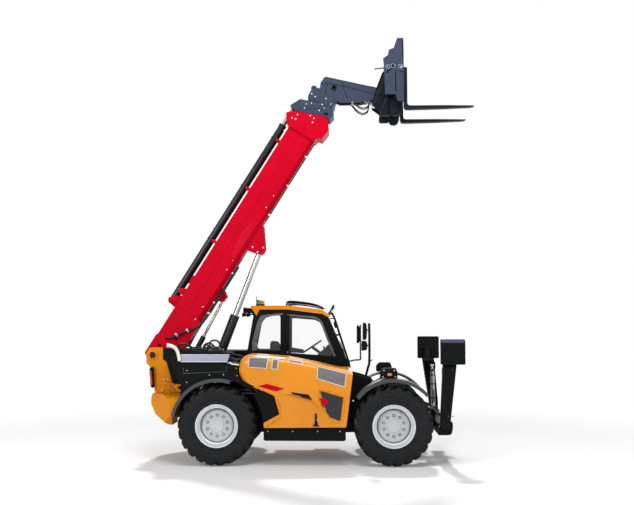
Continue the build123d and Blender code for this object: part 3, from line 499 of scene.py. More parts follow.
    def make(self, name, finish, body="chassis", bevel=0.0, limit=38, segments=2, move=None, replaces=None,
             slot=None):
        bmesh.ops.recalc_face_normals(self.bm, faces=self.bm.faces)
        mesh = bpy.data.meshes.new(name)
        self.bm.to_mesh(mesh)
        self.bm.free()
        obj = add(name, mesh)
        mesh.materials.append(look[finish])
        if bevel:
            edge = obj.modifiers.new("edge", "BEVEL")
            edge.width, edge.segments = bevel / 1000, segments
            edge.limit_method, edge.angle_limit = "ANGLE", math.radians(30)
            bpy.context.view_layer.update()
            graph = bpy.context.evaluated_depsgraph_get()
            obj.data = bpy.data.meshes.new_from_object(obj.evaluated_get(graph))
            obj.modifiers.clear()
        for polygon in obj.data.polygons:
            polygon.use_smooth = True
        obj.data.set_sharp_from_angle(angle=math.radians(limit))
        if move is not None:
            obj.matrix_world = move
        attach(obj, body)
        if replaces:
            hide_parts(*replaces)
        return obj


# sweep is how far a lug runs round the tyre from the middle to the shoulder, over its lean
tread = {"lugs": 22, "carcass": 600, "crown": 639.5, "bead": 348, "sweep": 0.62}


def tyrePiece(name, centre, body, node):
    s, crown = Shape(), tread["crown"]
    wall = [(tread["bead"], 150), (352, 176), (372, 186), (396, 180), (402, 187), (440, 194), (446, 190),
            (500, 197), (540, 194), (575, 178), (594, 140), (tread["carcass"], 80)]
    s.lathe((0, 0, 0), (0, 1, 0), wall + [(r, -y) for r, y in reversed(wall)], 88, hollow=True)
    sections = [(4, 0.00, 26, crown - 1, 590), (60, 0.06, 28, crown, 590), (120, 0.15, 32, crown - 3, 585),
                (160, 0.215, 37, crown - 12, 570), (187, 0.250, 41, 606, 545), (198.5, 0.262, 40, 560, 520)]
    for out in (1, -1):
        for base in circle(tread["lugs"], math.pi / tread["lugs"] if out < 0 else 0.0):
            rings = []
            for across, lean, wide, top, foot in sections:  # from the middle of the tread over the shoulder
                inset = 0 if across < 170 else 16
                half = [(foot, wide + 8), (top - 6, wide), (top, wide - 6)]
                ring = []
                for r, w in half + [(r, -w) for r, w in reversed(half)]:
                    a = base + lean * tread["sweep"] + w / r
                    y = out * (across - (inset if r == foot else 0))
                    ring.append(Vector((r * math.cos(a), y, r * math.sin(a))) / 1000)
                rings.append(ring)
            s.loft(rings)
    move = Matrix.Translation(Vector(centre) / 1000)
    s.make(name, "tyre", body, limit=32, move=move, replaces=[node], slot="tyre")


wheelTrim = {"studs": 10, "studCircle": 167.5, "face": 78}


def rimTrim(name, centre, outward, body):
    c, out = Vector(centre), Vector((0, outward, 0))
    nuts, seats = Shape(), Shape()
    for a in circle(wheelTrim["studs"], math.pi / wheelTrim["studs"]):
        spot = c + Vector((math.cos(a), 0, math.sin(a))) * wheelTrim["studCircle"] + out * wheelTrim["face"]
        nuts.loft([nuts.ring((spot + out * along) / 1000, out, radius / 1000, 6, a)
                   for radius, along in ((15.5, 3), (15.5, 19), (12, 22))])
        nuts.lathe(spot, out, [(8.5, 18), (8.5, 31), (7, 33)], 10)
        seats.lathe(spot, out, [(24.5, -2), (24.5, 2), (23, 3), (8, 3.2)], 18)
    nuts.make(name + "Nuts", "rimSilver", body)
    seats.lathe(c, out, [(262, 77.5), (279, 77.5), (279, 80.5), (262, 80.5)], 72, hollow=True)
    seats.make(name + "Seats", "iron", body)
    bell = [(345.5, 152), (347.5, 158), (347.5, 166), (344, 169.5), (337, 166.5), (322, 158), (312, 157.5),
            (304, 150), (297, 120), (286, 98), (279, 94), (272, 64), (290, 62), (300, 100), (306, 145),
            (330, 150)]
    s = Shape().lathe(c, out, bell, 88, hollow=True)
    s.lathe(c, out, [(100, 80), (100, 85), (95, 88), (30, 89), (10, 89)], 44)
    s.make(name + "Bell", "rimBright", body, limit=50)
    valve = c + Vector((math.cos(1.1), 0, math.sin(1.1))) * 262 + out * 45
    tip = valve + out * 55 - Vector((6, 0, 10))
    s = Shape().tube([valve, valve + out * 30, tip], 5, 8, 4).lathe(tip, out, [(8, 0), (8, 16), (6, 18)], 10)
    s.make(name + "Valve", "rubber", body)


for end, x in (("front", 1425), ("rear", -1425)):
    for side, out in (("left", 1), ("right", -1)):
        label, body = end.capitalize() + side.capitalize(), f"wheel_{end}_{side}"
        tyrePiece("tyre" + label, (x, out * 980, 640), body, f"tyre_{end}_{side}")
        rimTrim("rim" + label, (x, out * 980, 640), out, body)
print("wheels done")

# grilles and marks lie on the hood's crown, so they are cast on its faces
grilleWire = {"pitch": 10.5, "half": 1.6}
grilles = {
    "A": [(-902, 1738), (-598, 1722), (-625, 1562), (-914, 1582)],
    "B": [(-522, 1712), (-432, 1702), (-447, 1549), (-538, 1558)],
    "C": [(-268, 1700), (-36, 1666), (-46, 1630), (-258, 1664)],
    "D": [(203, 1594), (662, 1478), (638, 1268), (198, 1402)],
}
for name, (a, b, c, d) in grilles.items():
    wide, tall = math.dist(a, b), math.dist(a, d)
    across, up = max(2, round(wide / 30)), max(2, round(tall / 20))
    Shape().skin((a, b, c, d), 1.2, across=across, up=up).make("grilleBed" + name, "iron", "hood")
    s = Shape()
    rows, columns = round(tall / grilleWire["pitch"]), round(wide / grilleWire["pitch"])
    for k in range(1, rows):
        low, high = k / rows - grilleWire["half"] / tall, k / rows + grilleWire["half"] / tall
        s.skin([between(a, d, low), between(b, c, low), between(b, c, high), between(a, d, high)],
                3.4, 0, across, 1)
    for k in range(1, columns):
        low, high = k / columns - grilleWire["half"] / wide, k / columns + grilleWire["half"] / wide
        s.skin([between(a, b, low), between(a, b, high), between(d, c, high), between(d, c, low)],
                3.0, 0, 1, up)
    s.make("grilleMesh" + name, "meshGrey", "hood")
    # cream tubes round each grille are painted highlights on the hood's orange panel edges
    edges = ((a, b, across), (b, c, up), (c, d, across), (d, a, up))
    rim = [onHood(*between(p, q, (k + 0.15) / count)) for p, q, count in edges for k in range(count)]
    rim = [spot - Vector((0, 0.001, 0)) for spot in rim]
    Shape().hose(rim, 0.0065, 8, 3, loop=True).make("grilleFrame" + name, "cream", "hood")

s = Shape().skin([(-763, 1277), (-618, 1317), (-330, 1241), (-470, 1193)], 2.5, across=10, up=4)
s.skin([(225, 1101), (369, 1054), (353, 990), (281, 982)], 13, across=4, up=4)
s.make("hoodMarks", "boomRed", "hood", bevel=0.6)
s = Shape().skin([(-240, 1188), (58, 1146), (110, 1070), (-180, 1140)], 4, across=8, up=3)
s.tube([(-255, -1147, 1146), (-20, -1149, 1092), (114, -1149, 1058)], 5, 8, 4)
s.make("hoodPlate", "plastic", "hood", bevel=0.8)
s = Shape().side([(160, 848), (188, 844), (198, 700), (205, 668), (240, 656), (238, 640), (112, 644),
        (114, 660), (150, 672), (158, 700)], -1162, -1136)
s.side([(166, 850), (182, 848), (184, 800), (164, 802)], -1168, -1160)
s.make("hoodLatch", "plastic", "hood", bevel=3)
s = Shape().bolts([(196, 742)], 1161, 16, nearSide).bolts([(126, 652), (226, 650)], 1161, 9, nearSide)
s.make("hoodLatchBolts", "bareSteel", "hood")
s = Shape().skin([(228, 1212), (614, 1098), (596, 935), (262, 982)], 1.5, across=10, up=6)
s.skin([(262, 982), (596, 935), (566, 722), (402, 782)], 1.5, across=10, up=6)
s.make("hoodWindow", "hoodGlass", "hood")
s = Shape()
s.tube([(221, -1152, 1222), (257, -1152, 980), (400, -1152, 772), (571, -1152, 710), (624, -1152, 1104)],
        8, 8, 2, loop=True)
s.tube([(-322, -1151, 1158), (100, -1152, 1048), (221, -1152, 944)], 7, 8, 2)
s.tube([(-822, -1140, 1262), (-483, -1150, 1128), (-394, -1151, 805), (-660, -1151, 624)], 9, 8, 2)
s.make("hoodRidges", "orange", "hood")
s = Shape()
for x, z in ((-1000, 1560), (-960, 1600)):
    s.tube([(x - 10, -1020, z), (x + 20, -1080, z - 10)], 6, 10)
s.make("hoodStays", "iron", "hood")
print("hood done")

# rear end: tail lamps, pivot caps, bracket bolts, strip, pipes and hoses
s = Shape().pair([(-2666, 1536), (-2624, 1536), (-2618, 1500), (-2604, 1210), (-2616, 1190), (-2640, 1189),
        (-2658, 1230), (-2680, 1500)], 330, 418)
s.make("tailHousings", "plastic", bevel=4, replaces=["lamps"], slot="panel_black")
s = Shape()
s.pair([(-2676, 1478), (-2646, 1482), (-2622, 1250), (-2632, 1232), (-2650, 1240), (-2684, 1470)], 338, 424)
s.make("tailLenses", "redLens", bevel=5)
s = Shape().pair([(-2676, 1518), (-2640, 1520), (-2638, 1488), (-2680, 1486)], 345, 405)
s.make("tailIndicators", "amberLens", bevel=4)
pivot = [boom["pivot"]]
s = Shape().eyes(pivot, 330, [(74, -2), (74, 8), (68, 14), (58, 14), (56, 10)], 40)
s.pair([(-2700, 1690), (-2688, 1668), (-2600, 1700), (-2590, 1720)], 327, 339)
s.make("pivotRings", "orange", bevel=1)
s = Shape().eyes(pivot, 333, [(52, 0), (52, 10), (47, 14), (18, 14), (16, 8)], 32)
s.bolts([(-2666, 1690)], 338, 16)
s.make("pivotPins", "cylinderBlack")
s = Shape().bolts([(-2452, 1160), (-2360, 1160), (-2290, 1178), (-2230, 1215)], 463, 18)
s.bolts([(-2440, 1330), (-2380, 1330)], 329, 18)
s.bolts([(-1930, 1330), (-1560, 1450), (-1330, 1454), (-1110, 1440), (-1925, 1520), (-1120, 1560)],
        1050, 13, nearSide)
for x, z in ((-1760, 1795), (-1484, 1775)):
    s.lathe((x, -1020, z), (0, 0, 1), [(13, -20), (13, 8), (8, 14)], 12)
s.make("rearBolts", "bareSteel")
tieDown = {"x": -2149, "z": 1197}  # the bore that the plates leave open
s = Shape().pair([(-2452, 1292), (-2240, 1268), (-2228, 1120), (-2416, 1108)], 440, 474)
s.eyes([(tieDown["x"], tieDown["z"])], 461.5, [(27.5, -3), (52, -3), (52, 5), (27.5, 5)], 32, hollow=True)
for x0, x1, z0, z1 in ((-60, -38, -60, 60), (38, 56, -60, 60), (-40, 40, 38, 60), (-40, 40, -60, -38)):
    s.pair(oblong(tieDown["x"] + x0, tieDown["x"] + x1, tieDown["z"] + z0, tieDown["z"] + z1), 460.5, 465.5)
s.make("tieDownPlates", "orange", bevel=1)
s = Shape().bolts([(-2400, 1150), (-2300, 1150), (-2400, 1240), (-2300, 1235)], 474, 14)
s.make("bracketBolts", "iron")
# a light grey plate on the black deck box: painted reflection of the sky in its sloped top edge
s = Shape().side([(-2040, 1668), (-2030, 1772), (-2020, 1782), (-1240, 1782), (-1230, 1772), (-1262, 1676),
        (-1275, 1664), (-2030, 1664)], -1064, -1046)
s.make("deckStripReflection", "stripGrey", bevel=5, segments=3)
s = Shape().side([(-2036, 1658), (-1262, 1658), (-1266, 1668), (-2038, 1668)], -1070, -1046)
s.side(oblong(-2031, -1242, 1778, 1784), -1066, -1040)
s.make("deckStripEdges", "white", bevel=1.5)
s = Shape().side([(-1990, 1468), (-1280, 1500), (-1280, 1508), (-1990, 1476)], -1056, -1044)
s.side(oblong(-1990, -1982, 1476, 1560), -1056, -1044).side(oblong(-1286, -1278, 1508, 1580), -1056, -1044)
s.make("panelRidges", "fenderGrey", bevel=2)
s = Shape().tube([(-2044, -1084, 1680), (-2060, -1085, 1770), (-2090, -1085, 1850), (-2130, -1085, 1896),
        (-2190, -1085, 1920), (-2246, -1085, 1930)], 29, 20)
s.lathe((-2246, -1085, 1930), (-0.98, 0, 0.16), [(32, -20), (32, 4), (27, 5), (25, -30)])
s.make("exhaustElbow", "cream", replaces=["exhaust_pipe"], slot="rim_silver")
s = Shape()
s.tube([(-1268, -1030, 1640), (-1230, -1040, 1648), (-1190, -1040, 1626), (-1085, -1035, 1612)], 14, 14)
s.make("nosePipe", "white")
s = Shape()
s.tube([(-1262, -1000, 1700), (-1200, -1000, 1712), (-1120, -1000, 1690), (-1060, -980, 1700)], 22, 14)
s.tube([(-1250, -900, 1760), (-1190, -900, 1775), (-1120, -880, 1760), (-1040, -860, 1740)], 18)
for y in (-960, -880):
    s.tube([(-2120, y, 1870), (-2080, y, 1935), (-1990, y + 10, 1945), (-1900, y + 20, 1900),
            (-1870, y + 30, 1850)], 17)
s.tube([(-1700, -900, 1830), (-1670, -880, 1930), (-1590, -840, 1960), (-1520, -800, 1900),
        (-1500, -780, 1820)], 15)
s.tube([(-1640, -700, 1830), (-1600, -640, 1980), (-1500, -600, 1990), (-1440, -560, 1900),
        (-1440, -520, 1810)], 15)
for k in range(4):
    x, y, z = -1790 + 60 * k, -330 - 34 * k, 1700 - 14 * k
    s.tube([(x, y - 6 * k, 1700), (x + 20, y - 10 - 6 * k, 1850), (x + 70, y - 20 - 2 * k, z + 215),
            (x + 140, y - 30, z + 170), (x + 160, y - 40, 1760)], 15)
s.make("deckHoses", "hose")
s = Shape()
for x, y in ((-1860, -900), (-1770, -760), (-1650, -880)):
    s.lathe((x, y, 1835), (0, 0, 1), [(45, -10), (45, 30), (38, 36), (38, 60), (30, 66)], 22)
s.box(-1600, -1380, -980, -640, 1800, 1862).box(-1560, -1430, -940, -700, 1855, 1900)
s.make("deckFittings", "cylinderBlack", bevel=4)
s = Shape().lathe((-1700, 740, 1822), (0, 0, 1), [(60, -4), (66, 0), (66, 26), (58, 34), (20, 36)], 28)
s.box(-1900, -1320, 1074, 1086, 1300, 1312)
s.make("tankCap", "plastic", bevel=1)
print("rear end done")

# boom trim: weld seams, doubler plates, bolts, hoses, telescope lugs
s = Shape(onBoom).rails([(905, -87), (4590, -87)], (-190.5, 190.5), 6, 8)
s.rails([(905, 138), (905, -360)], (-212.5, 212.5), 5, 6).pair(oblong(4590, 4600, -300, 139), 190, 196)
s.make("boomSeams", "boomRed", "boom_outer")
s = Shape(onBoom).pair([(2010, -306), (2130, -232), (2330, -176), (2560, -158), (2790, -176), (3000, -240),
        (3100, -306)], 188, 196)
s.pair([(2180, -306), (2300, -262), (2560, -240), (2800, -262), (2920, -306)], 194, 199)
s.make("boomDoublers", "boomRed", "boom_outer", bevel=1.5)
s = Shape(onBoom).bolts([(1137, -268), (1900, -280), (2090, -280), (3180, -280), (3420, -280)], 190, 14)
s.bolts([(888, -276)], 212.5, 14)
s.bolts([(4845, 120), (4760, 108), (4744, 172), (4940, -161), (4867, -179), (4946, -80)], 225, 18)
s.bolts([(2440, -560), (2560, -600), (2470, -440)], 118, 20)
s.make("boomBolts", "white", "boom_outer")
s = Shape(onBoom).eyes([(342, -42), (428, -179), (182, 11)], 213.5, [(27, -4), (27, 4), (24, 5), (20, 1)])
s.eyes([(0, 0)], 228, [(86, 0), (86, 6), (58, 6), (56, 0)], 36)
s.make("boomPorts", "frameBlack", "boom_outer")
s = Shape(onBoom)
run = [(342, -42), (420, -110), (498, -150), (570, -205), (659, -266), (740, -340), (830, -398),
        (1001, -420), (1182, -424), (1468, -420), (2050, -418)]
for k, across in enumerate((-243, -262)):  # from the ports, then in towards the boom's side
    path = [(u, across + 70 * min(1, max(0, (u - 900) / 400)), v - 14 * k) for u, v in run]
    s.tube([(342, -205, -42 - 20 * k)] + path[1:], 14)
s.rails([(900, -392), (1180, -398), (2200, -398)], (-150, -118), 9, 10, 4)
s.rails([(2980, -398), (4560, -398)], (-150, -118), 9, 10)
s.make("boomHoses", "hose", "boom_outer")
s = Shape(onBoom)
for u, v, across in ((498, -150, -252), (659, -270, -252), (1100, -428, -215)):
    s.side([(u - 16, v - 34), (u + 16, v - 30), (u + 16, v + 30), (u - 16, v + 26)], across - 22, across + 30)
for u in (1300, 1900, 3100, 3700, 4300):
    s.side(oblong(u - 14, u + 14, -412, -376), -168, -100)
s.make("hoseClamps", "white", "boom_outer", bevel=3)
s = Shape(onBoom).pair([(905, 138), (915, 262), (960, 300), (1010, 262), (1070, 138)], 64, 96)
s.pair([(1110, 138), (1130, 250), (1180, 262), (1225, 210), (1240, 138)], 120, 150)
s.side([(1330, 138), (1345, 190), (1500, 190), (1515, 138)], -70, 70)
bands = Shape(onBoom).tube([(1000, 0, 212), (1400, 0, 206), (4500, 0, 206)], 8, 8, 3)
for u in (2200, 3300, 4300):  # two lugs and a band hold the telescope cylinder
    s.pair(oblong(u - 26, u + 26, 138, 236), 52, 78)
    bands.lathe((u, 0, 272), (1, 0, 0), [(62.5, -14), (68.5, -14), (68.5, 14), (62.5, 14)], 40, hollow=True)
s.make("boomLugs", "boomRed", "boom_outer", bevel=4)
bands.lathe((4580, 0, 272), (1, 0, 0), [(43, -30), (69, -30), (69, 6), (60, 12), (43, 12)], 40, hollow=True)
bands.make("telescopeBands", "cylinderBlack", "boom_outer")
print("boom done")

# sliding collars and the gooseneck
s = Shape(onBoom)
s.bolts([(5089, 88), (5150, 22), (5225, -150), (5012, 79), (5113, -162), (5190, -215)], 205, 18)
s.make("collarBolts2", "white", "boom_2")
s = Shape(onBoom).pair([(5096, -258), (5140, -262), (5150, -330), (5104, -334)], 200, 207)
s.make("collarPorts2", "plastic", "boom_2", bevel=2)
s = Shape(onBoom).pair([(4990, 200), (5096, 190), (5130, 110), (5220, -110), (5228, -230), (5160, -235),
        (5090, -120), (5010, 70), (4960, 150)], 204, 210)
s.make("collarFaces2", "slate", "boom_2", bevel=2)
s = Shape(onBoom).bolts([(5288, 31), (5358, -147), (5300, 110), (5320, -270)], 172, 16)
s.make("collarBolts3", "white", "boom_3")
s = Shape(onBoom).eyes([(5403, 131)], 128, [(52, 0), (52, 40), (46, 46), (22, 46), (20, 30)], 32)
s.make("collarEyes3", "slate", "boom_3")
s = Shape(onBoom)
for line in ([(5690, 66), (5860, -420), (5975, -760)], [(5617, -18), (5740, -370), (5880, -830)],
        [(5617, -18), (5560, 60)], [(5436, -89), (5617, -18)], [(5773, -239), (5680, -300), (5560, -480)]):
    s.rails(line, (-138.5, 138.5), 5, 6)
s.make("gooseSeams", "forkBlack", "boom_head")
s = Shape(onBoom).eyes([(5606, -158)], 138, [(48, 0), (48, 10), (42, 14), (24, 14), (22, 8)], 32)
s.eyes([(5911, -880)], 180, [(46, 0), (46, 8), (38, 12)], 28).bolts([(5560, -120), (5560, -200)], 138, 14)
s.make("goosePins", "forkBlack", "boom_head")
s = Shape(onBoom).side([(5440, -300), (5470, -372), (5640, -640), (5700, -690), (5720, -640), (5560, -380),
        (5500, -300)], -96, 96)
s.make("gooseUnderside", "forkBlack", "boom_head", bevel=5)
s, start = Shape(), onBoom(5560, -420) * 1000
for k, y in enumerate((-118, -94, 94, 118)):
    z = -18 * k  # each loop hangs a little lower than the last
    s.tube([(start.x, y, start.z), (760, y, 6210 + z), (840, y * 1.2, 6120 + z), (910, y * 1.25, 6065 + z),
            (980, y * 1.2, 6045 + z), (1050, y, 6080 + z), (1080, y, 6140)], 9.5, 10, 8)
s.make("headHoses", "hose", "boom_head")
s = Shape()
for y in (-106, 106):
    s.lathe((790, y, 6168), (-0.7, 0, 0.7), [(26, -16), (30, -10), (30, 16), (22, 22)], 14)
s.make("headFittings", "white", "boom_head")

# carriage: latch pins, lever, lower hitch blocks, load guard, forks
latch = [(1385, 6640), (1470, 6650), (1600, 6640)]
s = Shape().eyes(latch, 648, [(22.5, -12), (30, -4), (30, 3), (23.5, 4), (22.5, -10)], hollow=True)
for ridge in (
        [(1345, 6540), (1360, 6520), (1440, 6590), (1485, 6600), (1480, 6620), (1420, 6612), (1372, 6575)],
        [(1560, 6560), (1590, 6540), (1630, 6545), (1640, 6570), (1615, 6560), (1585, 6562)],
        [(1622, 7090), (1640, 7100), (1646, 6800), (1628, 6790)]):
    s.pair(ridge, 640, 650)
s.make("carriageRings", "forkBlack", "carriage", bevel=1.2)
s = Shape().eyes(latch, 649, [(30, -4), (37, -4), (37, 2), (30, 2)], 28, hollow=True)
s.make("carriageEyes", "stripGrey", "carriage")
s = Shape().bolts([(1455, 6880), (1375, 6700), (1624, 6784), (1462, 6322), (1640, 6232), (1600, 7060),
        (1360, 6220)], 648, 16)
s.make("carriageBolts", "iron", "carriage")
s = Shape().rails([(1330, 6686), (1250, 6676), (1180, 6668)], [-400], 11, steps=4)
s.rails([(1180, 6668), (1166, 6667)], [-400], 15).box(1320, 1400, -420, -380, 6640, 6700)
s.make("latchLever", "iron", "carriage", bevel=1)
s = Shape().pair([(1262, 5890), (1262, 5960), (1290, 6080), (1350, 6190), (1470, 6190), (1480, 5920),
        (1450, 5900), (1440, 5880), (1410, 5866), (1280, 5866)], 250, 330)
s.pair([(1425, 5930), (1440, 6150), (1560, 6150), (1640, 6110), (1625, 5930), (1600, 5870), (1560, 5846),
        (1480, 5848), (1455, 5880)], 360, 430)
s.make("hitchBlocks", "forkBlack", "carriage", bevel=12, segments=3)
s = Shape().pair([(1128, 6095), (1160, 6160), (1335, 6640), (1356, 6560), (1358, 6080), (1330, 5960),
        (1250, 6010)], 176, 190)
s.eyes([(1180, 6120)], 188, [(38, 0), (38, 12), (30, 16)])
s.eyes([(1252, 6289)], 188, [(50, 0), (50, 10), (42, 14)], 28)
s.make("hitchSides", "forkBlack", "carriage", bevel=3)
s = Shape().bars([(1600, 7116), (1600, 6950)], -632, 632, 14, 14)
s.rails([(1600, 6560), (1600, 7120)], range(-480, 481, 160), 10)
s.make("loadGuard", "slate", "carriage")
s = Shape().pair([(1656, 6580), (1604, 6580), (1604, 6625), (1640, 6640), (1700, 6640), (1712, 6625),
        (1713, 6020), (1722, 5990), (1750, 5976), (2300, 5976), (2840, 5968), (2843, 5961), (2780, 5950),
        (2300, 5930), (1760, 5917), (1700, 5917), (1672, 5930), (1657, 5960)], 470, 610)
s.make("forkPair", "forkBlack", "carriage", bevel=5, segments=3, replaces=["forks"], slot="fork_steel")
print("head done")

# cab: window trim, roof corners, guards, beacons, lamps, mirrors
rearOut = [(-1002, 1790), (-1000, 1960), (-905, 2322), (-850, 2414), (-600, 2448), (-453, 2456)]
rearIn = [(-905, 1806), (-915, 1949), (-826, 2290), (-760, 2372), (-640, 2414), (-453, 2426)]
frontOut = [(-400, 2440), (94, 2400), (190, 2358), (245, 2300), (368, 1975), (480, 1700)]
frontIn = [(-344, 2409), (88, 2365), (160, 2338), (206, 2300), (331, 1975), (436, 1700)]
s = Shape()
s.band(rearOut, rearIn, 255, 268)
s.band(frontOut, frontIn, 255, 268)
s.band(frontOut, frontIn, 1100, 1112)
s.make("windowTrim", "trimGrey", bevel=3)
s = Shape()
for low, high in ((255, 270), (1098, 1114)):
    s.side([(-432, 2440), (-340, 2425), (-342, 1770), (-424, 1790)], low, high)
    s.side([(-1002, 1790), (-905, 1800), (-444, 1800), (-444, 1770), (-1002, 1770)], low, high)
s.side([(-404, 1836), (-122, 1788), (-122, 1716), (-404, 1730)], 1098, 1120)
s.make("windowPosts", "plastic", bevel=4)
s = Shape().plates([(-1034, 2572), (-1020, 2588), (-850, 2588), (-858, 2556), (-915, 2430), (-926, 2404),
        (-938, 2430)], (247.5, 1174.5), 4.5)
s.make("roofGussets", "orange", bevel=3)
ends = (333, 1088)  # the roof guard's two outer rails
s = Shape().rails([(-398, 2594), (-388, 2640), (-360, 2664), (-241, 2664), (-10, 2636), (140, 2600),
        (225, 2562), (256, 2536)], ends, 14)
s.rails([(-392, 2606), (-240, 2612), (-10, 2590), (150, 2556), (252, 2536)], ends, 9, 10)
s.plates([(-376, 2652), (-358, 2668), (-241, 2668), (-10, 2642), (140, 2604), (225, 2566), (210, 2556),
        (130, 2578), (-12, 2610), (-241, 2634), (-362, 2634)], ends, 5)
s.plates(oblong(-402, -380, 2586, 2612), ends, 14)
s.rails([(-388, 2640), (-360, 2662), (-241, 2662), (-10, 2634), (140, 2598), (225, 2560)],
        range(440, 981, 108), 8, 10)
s.bars([(-388, 2640), (-241, 2662), (-10, 2634), (225, 2560)], *ends, 9)
s.make("roofGuardRails", "frameBlack", replaces=["roof_guard"], slot="frame_black")
ends = (300, 1108)  # and the windscreen guard's
rail = [(382, 2452), (440, 2400), (560, 2040), (690, 1640), (728, 1512)]
s = Shape().rails(rail, ends, 15, 12, 5).rails(rail[1:], range(462, 949, 162), 7, 10, 5)
s.bars(rail[1:4], *ends, 9)
for x, z, back in ((452, 2365, 372), (552, 2070, 478), (640, 1795, 590), (722, 1530, 690)):
    s.rails([(back, z - 8), (x, z)], ends, 9, 10)
s.make("windscreenGuard", "frameBlack")
s = Shape().plates([(700, 1600), (722, 1606), (748, 1500), (724, 1490)], ends, 9)
s.make("guardTips", "boomRed", bevel=3)
ends = (318, 1084)  # the roof's front lamps
s = Shape().rails([(340, 2440), (385, 2500), (412, 2540)], ends, 9, 10, 8)
s.rails([(365, 2430), (400, 2455)], ends, 8, 10)
s.plates([(394, 2530), (430, 2610), (452, 2602), (448, 2560), (418, 2518)], ends, 38)
s.plates([(384, 2440), (392, 2478), (420, 2474), (424, 2450), (404, 2432)], ends, 30)
s.plates([(440, 2300), (470, 2290), (500, 2200), (470, 2190), (448, 2240)], ends, 26)
s.make("roofLampHousings", "plastic", bevel=7, segments=3)
s = Shape()
for y in ends:
    s.lathe((440, y, 2565), (0.93, 0, -0.36), [(30, -4), (30, 10), (22, 16), (8, 18)])
s.make("roofLampGlass", "clearLens")
ends = (352, 1070)  # and its rear lamps
s, glass = Shape(), Shape()
for y in ends:
    for x0, x1, z0, z1, half in ((-1166, -1082, 2452, 2560, 56), (-1190, -1120, 2392, 2462, 42)):
        rings = []
        for x, grow in ((x1, 0.62), (x1 - 30, 0.92), (x0 + 12, 1.0), (x0, 0.96)):
            middle, wide, tall, ring = (z0 + z1) / 2, half * grow, (z1 - z0) / 2 * grow, []
            for a in circle(16):  # a rounded square
                squash = (abs(math.cos(a)) ** 4 + abs(math.sin(a)) ** 4) ** -0.25
                ring.append(s.spot(x, y + wide * math.cos(a) * squash, middle + tall * math.sin(a) * squash))
            rings.append(ring)
        s.loft(rings)
    glass.lathe((-1166, y, 2506), (-1, 0, 0), [(46, -4), (46, 3), (34, 7), (10, 8)])
s.rails([(-1100, 2500), (-1030, 2470), (-985, 2450)], ends, 12, 12, 5)
s.rails([(-1130, 2430), (-1060, 2440), (-985, 2430)], ends, 10, 12, 5)
s.make("workLamps", "plastic")
glass.make("workLampGlass", "clearLens")
s = Shape().rails([(-930, 2590), (-934, 2660), (-938, 2752)], [330], 5, 10, 4)
s.lathe((-930, 330, 2586), (0, 0, 1), [(16, 0), (16, 20), (7, 40)], 16)
for x, y, r in ((-900, 340, 40), (-850, 560, 45)):
    s.lathe((x, y, 2588), (0, 0, 1), [(r, -6), (r * 1.02, 4), (r * 1.02, 26), (r * 0.8, 32)], 28)
s.make("beaconBases", "plastic")
for colour, x, y, r, h in (("green", -900, 340, 37, 80), ("amber", -850, 560, 41, 72)):
    ribs = [(r, 0)] + [(r * (1.0 if k % 2 else 0.965), h * (0.08 + 0.82 * k / 12)) for k in range(13)]
    s = Shape().lathe((x, y, 2618), (0, 0, 1), ribs + [(r * 0.8, h * 0.97), (r * 0.3, h * 1.01)], 30)
    s.make("beacon" + colour.capitalize(), colour + "Lens", limit=60)
s = Shape().rails([(970, 1396), (1012, 1560), (1037, 1666), (1040, 2040), (1036, 2288)], [-1000], 20, 14)
s.rails([(1037, 1666), (1090, 1700)], [-1000], 8, 10).tube([(1042, -1000, 2180), (995, -1010, 2180)], 10, 10)
s.tube([(1042, -1000, 1930), (1000, -1010, 1930)], 10, 10)
s.tube([(930, 1150, 2080), (905, 1140, 2080)], 10, 10)
s.box(1018, 1056, -1018, -982, 1640, 1700).box(950, 996, -1024, -976, 1392, 1412)
s.tube([(700, 1130, 1562), (820, 1146, 1590), (925, 1150, 1604), (930, 1150, 1700), (930, 1150, 2246)], 14)
s.make("mirrorArms", "frameBlack")
s, faces = Shape(), Shape()
for x0, x1, y0, y1, z0, z1 in ((930, 1002, -1088, -952, 2018, 2300), (908, 1010, -1078, -962, 1846, 2004),
        (862, 924, 1054, 1176, 1904, 2236)):
    s.side([(x0, z0 + 10), (x0 + 6, z0), (x1 - 22, z0 + 4), (x1 - 8, z0 + 40), (x1, (z0 + z1) / 2),
            (x1 - 8, z1 - 40), (x1 - 24, z1 - 4), (x0 + 6, z1), (x0, z1 - 10)], y0, y1)
    faces.box(x0 - 4, x0 + 6, y0 + 10, y1 - 10, z0 + 12, z1 - 12)
s.make("mirrorShells", "plastic", bevel=14, segments=4, replaces=["mirrors"], slot="panel_black")
faces.make("mirrorFaces", "mirror", bevel=3, segments=3)
s = Shape().pair([(1214, 1404), (1210, 1496), (1262, 1556), (1288, 1560), (1450, 1560), (1470, 1554),
        (1496, 1490), (1492, 1404), (1470, 1398), (1240, 1398)], 846, 1014)
s.pair([(1240, 1420), (1236, 1490), (1280, 1536), (1442, 1536), (1470, 1486), (1466, 1420)], 1012, 1020)
s.make("headlampHousings", "plastic", bevel=8, segments=3)
s = Shape()
s.eyes([(1255, 1425), (1455, 1425), (1275, 1525), (1440, 1525)], 1018, [(10, 0), (10, 4), (6, 7)], 12)
for y in (-970, -892, 892, 970):
    s.lathe((1488, y, 1478), (1, 0, 0), [(36, -4), (36, 4), (26, 8), (6, 9)], 26)
s.make("headlampGlass", "clearLens")
s = Shape().pair(oblong(1330, 1400, 1440, 1480), 1017, 1024)
s.make("headlampIndicators", "amberLens", bevel=2)
s = Shape().twin([(1340, 930, 1404), (1350, 900, 1380), (1330, 830, 1388), (1280, 700, 1300),
        (1240, 500, 1150), (1230, 384, 1080)], 11, 10)
s.twin([(1340, 850, 1392), (1345, 600, 1200), (1345, 380, 1020)], 16)
s.make("headlampStalks", "frameBlack")
print("cab outside done")

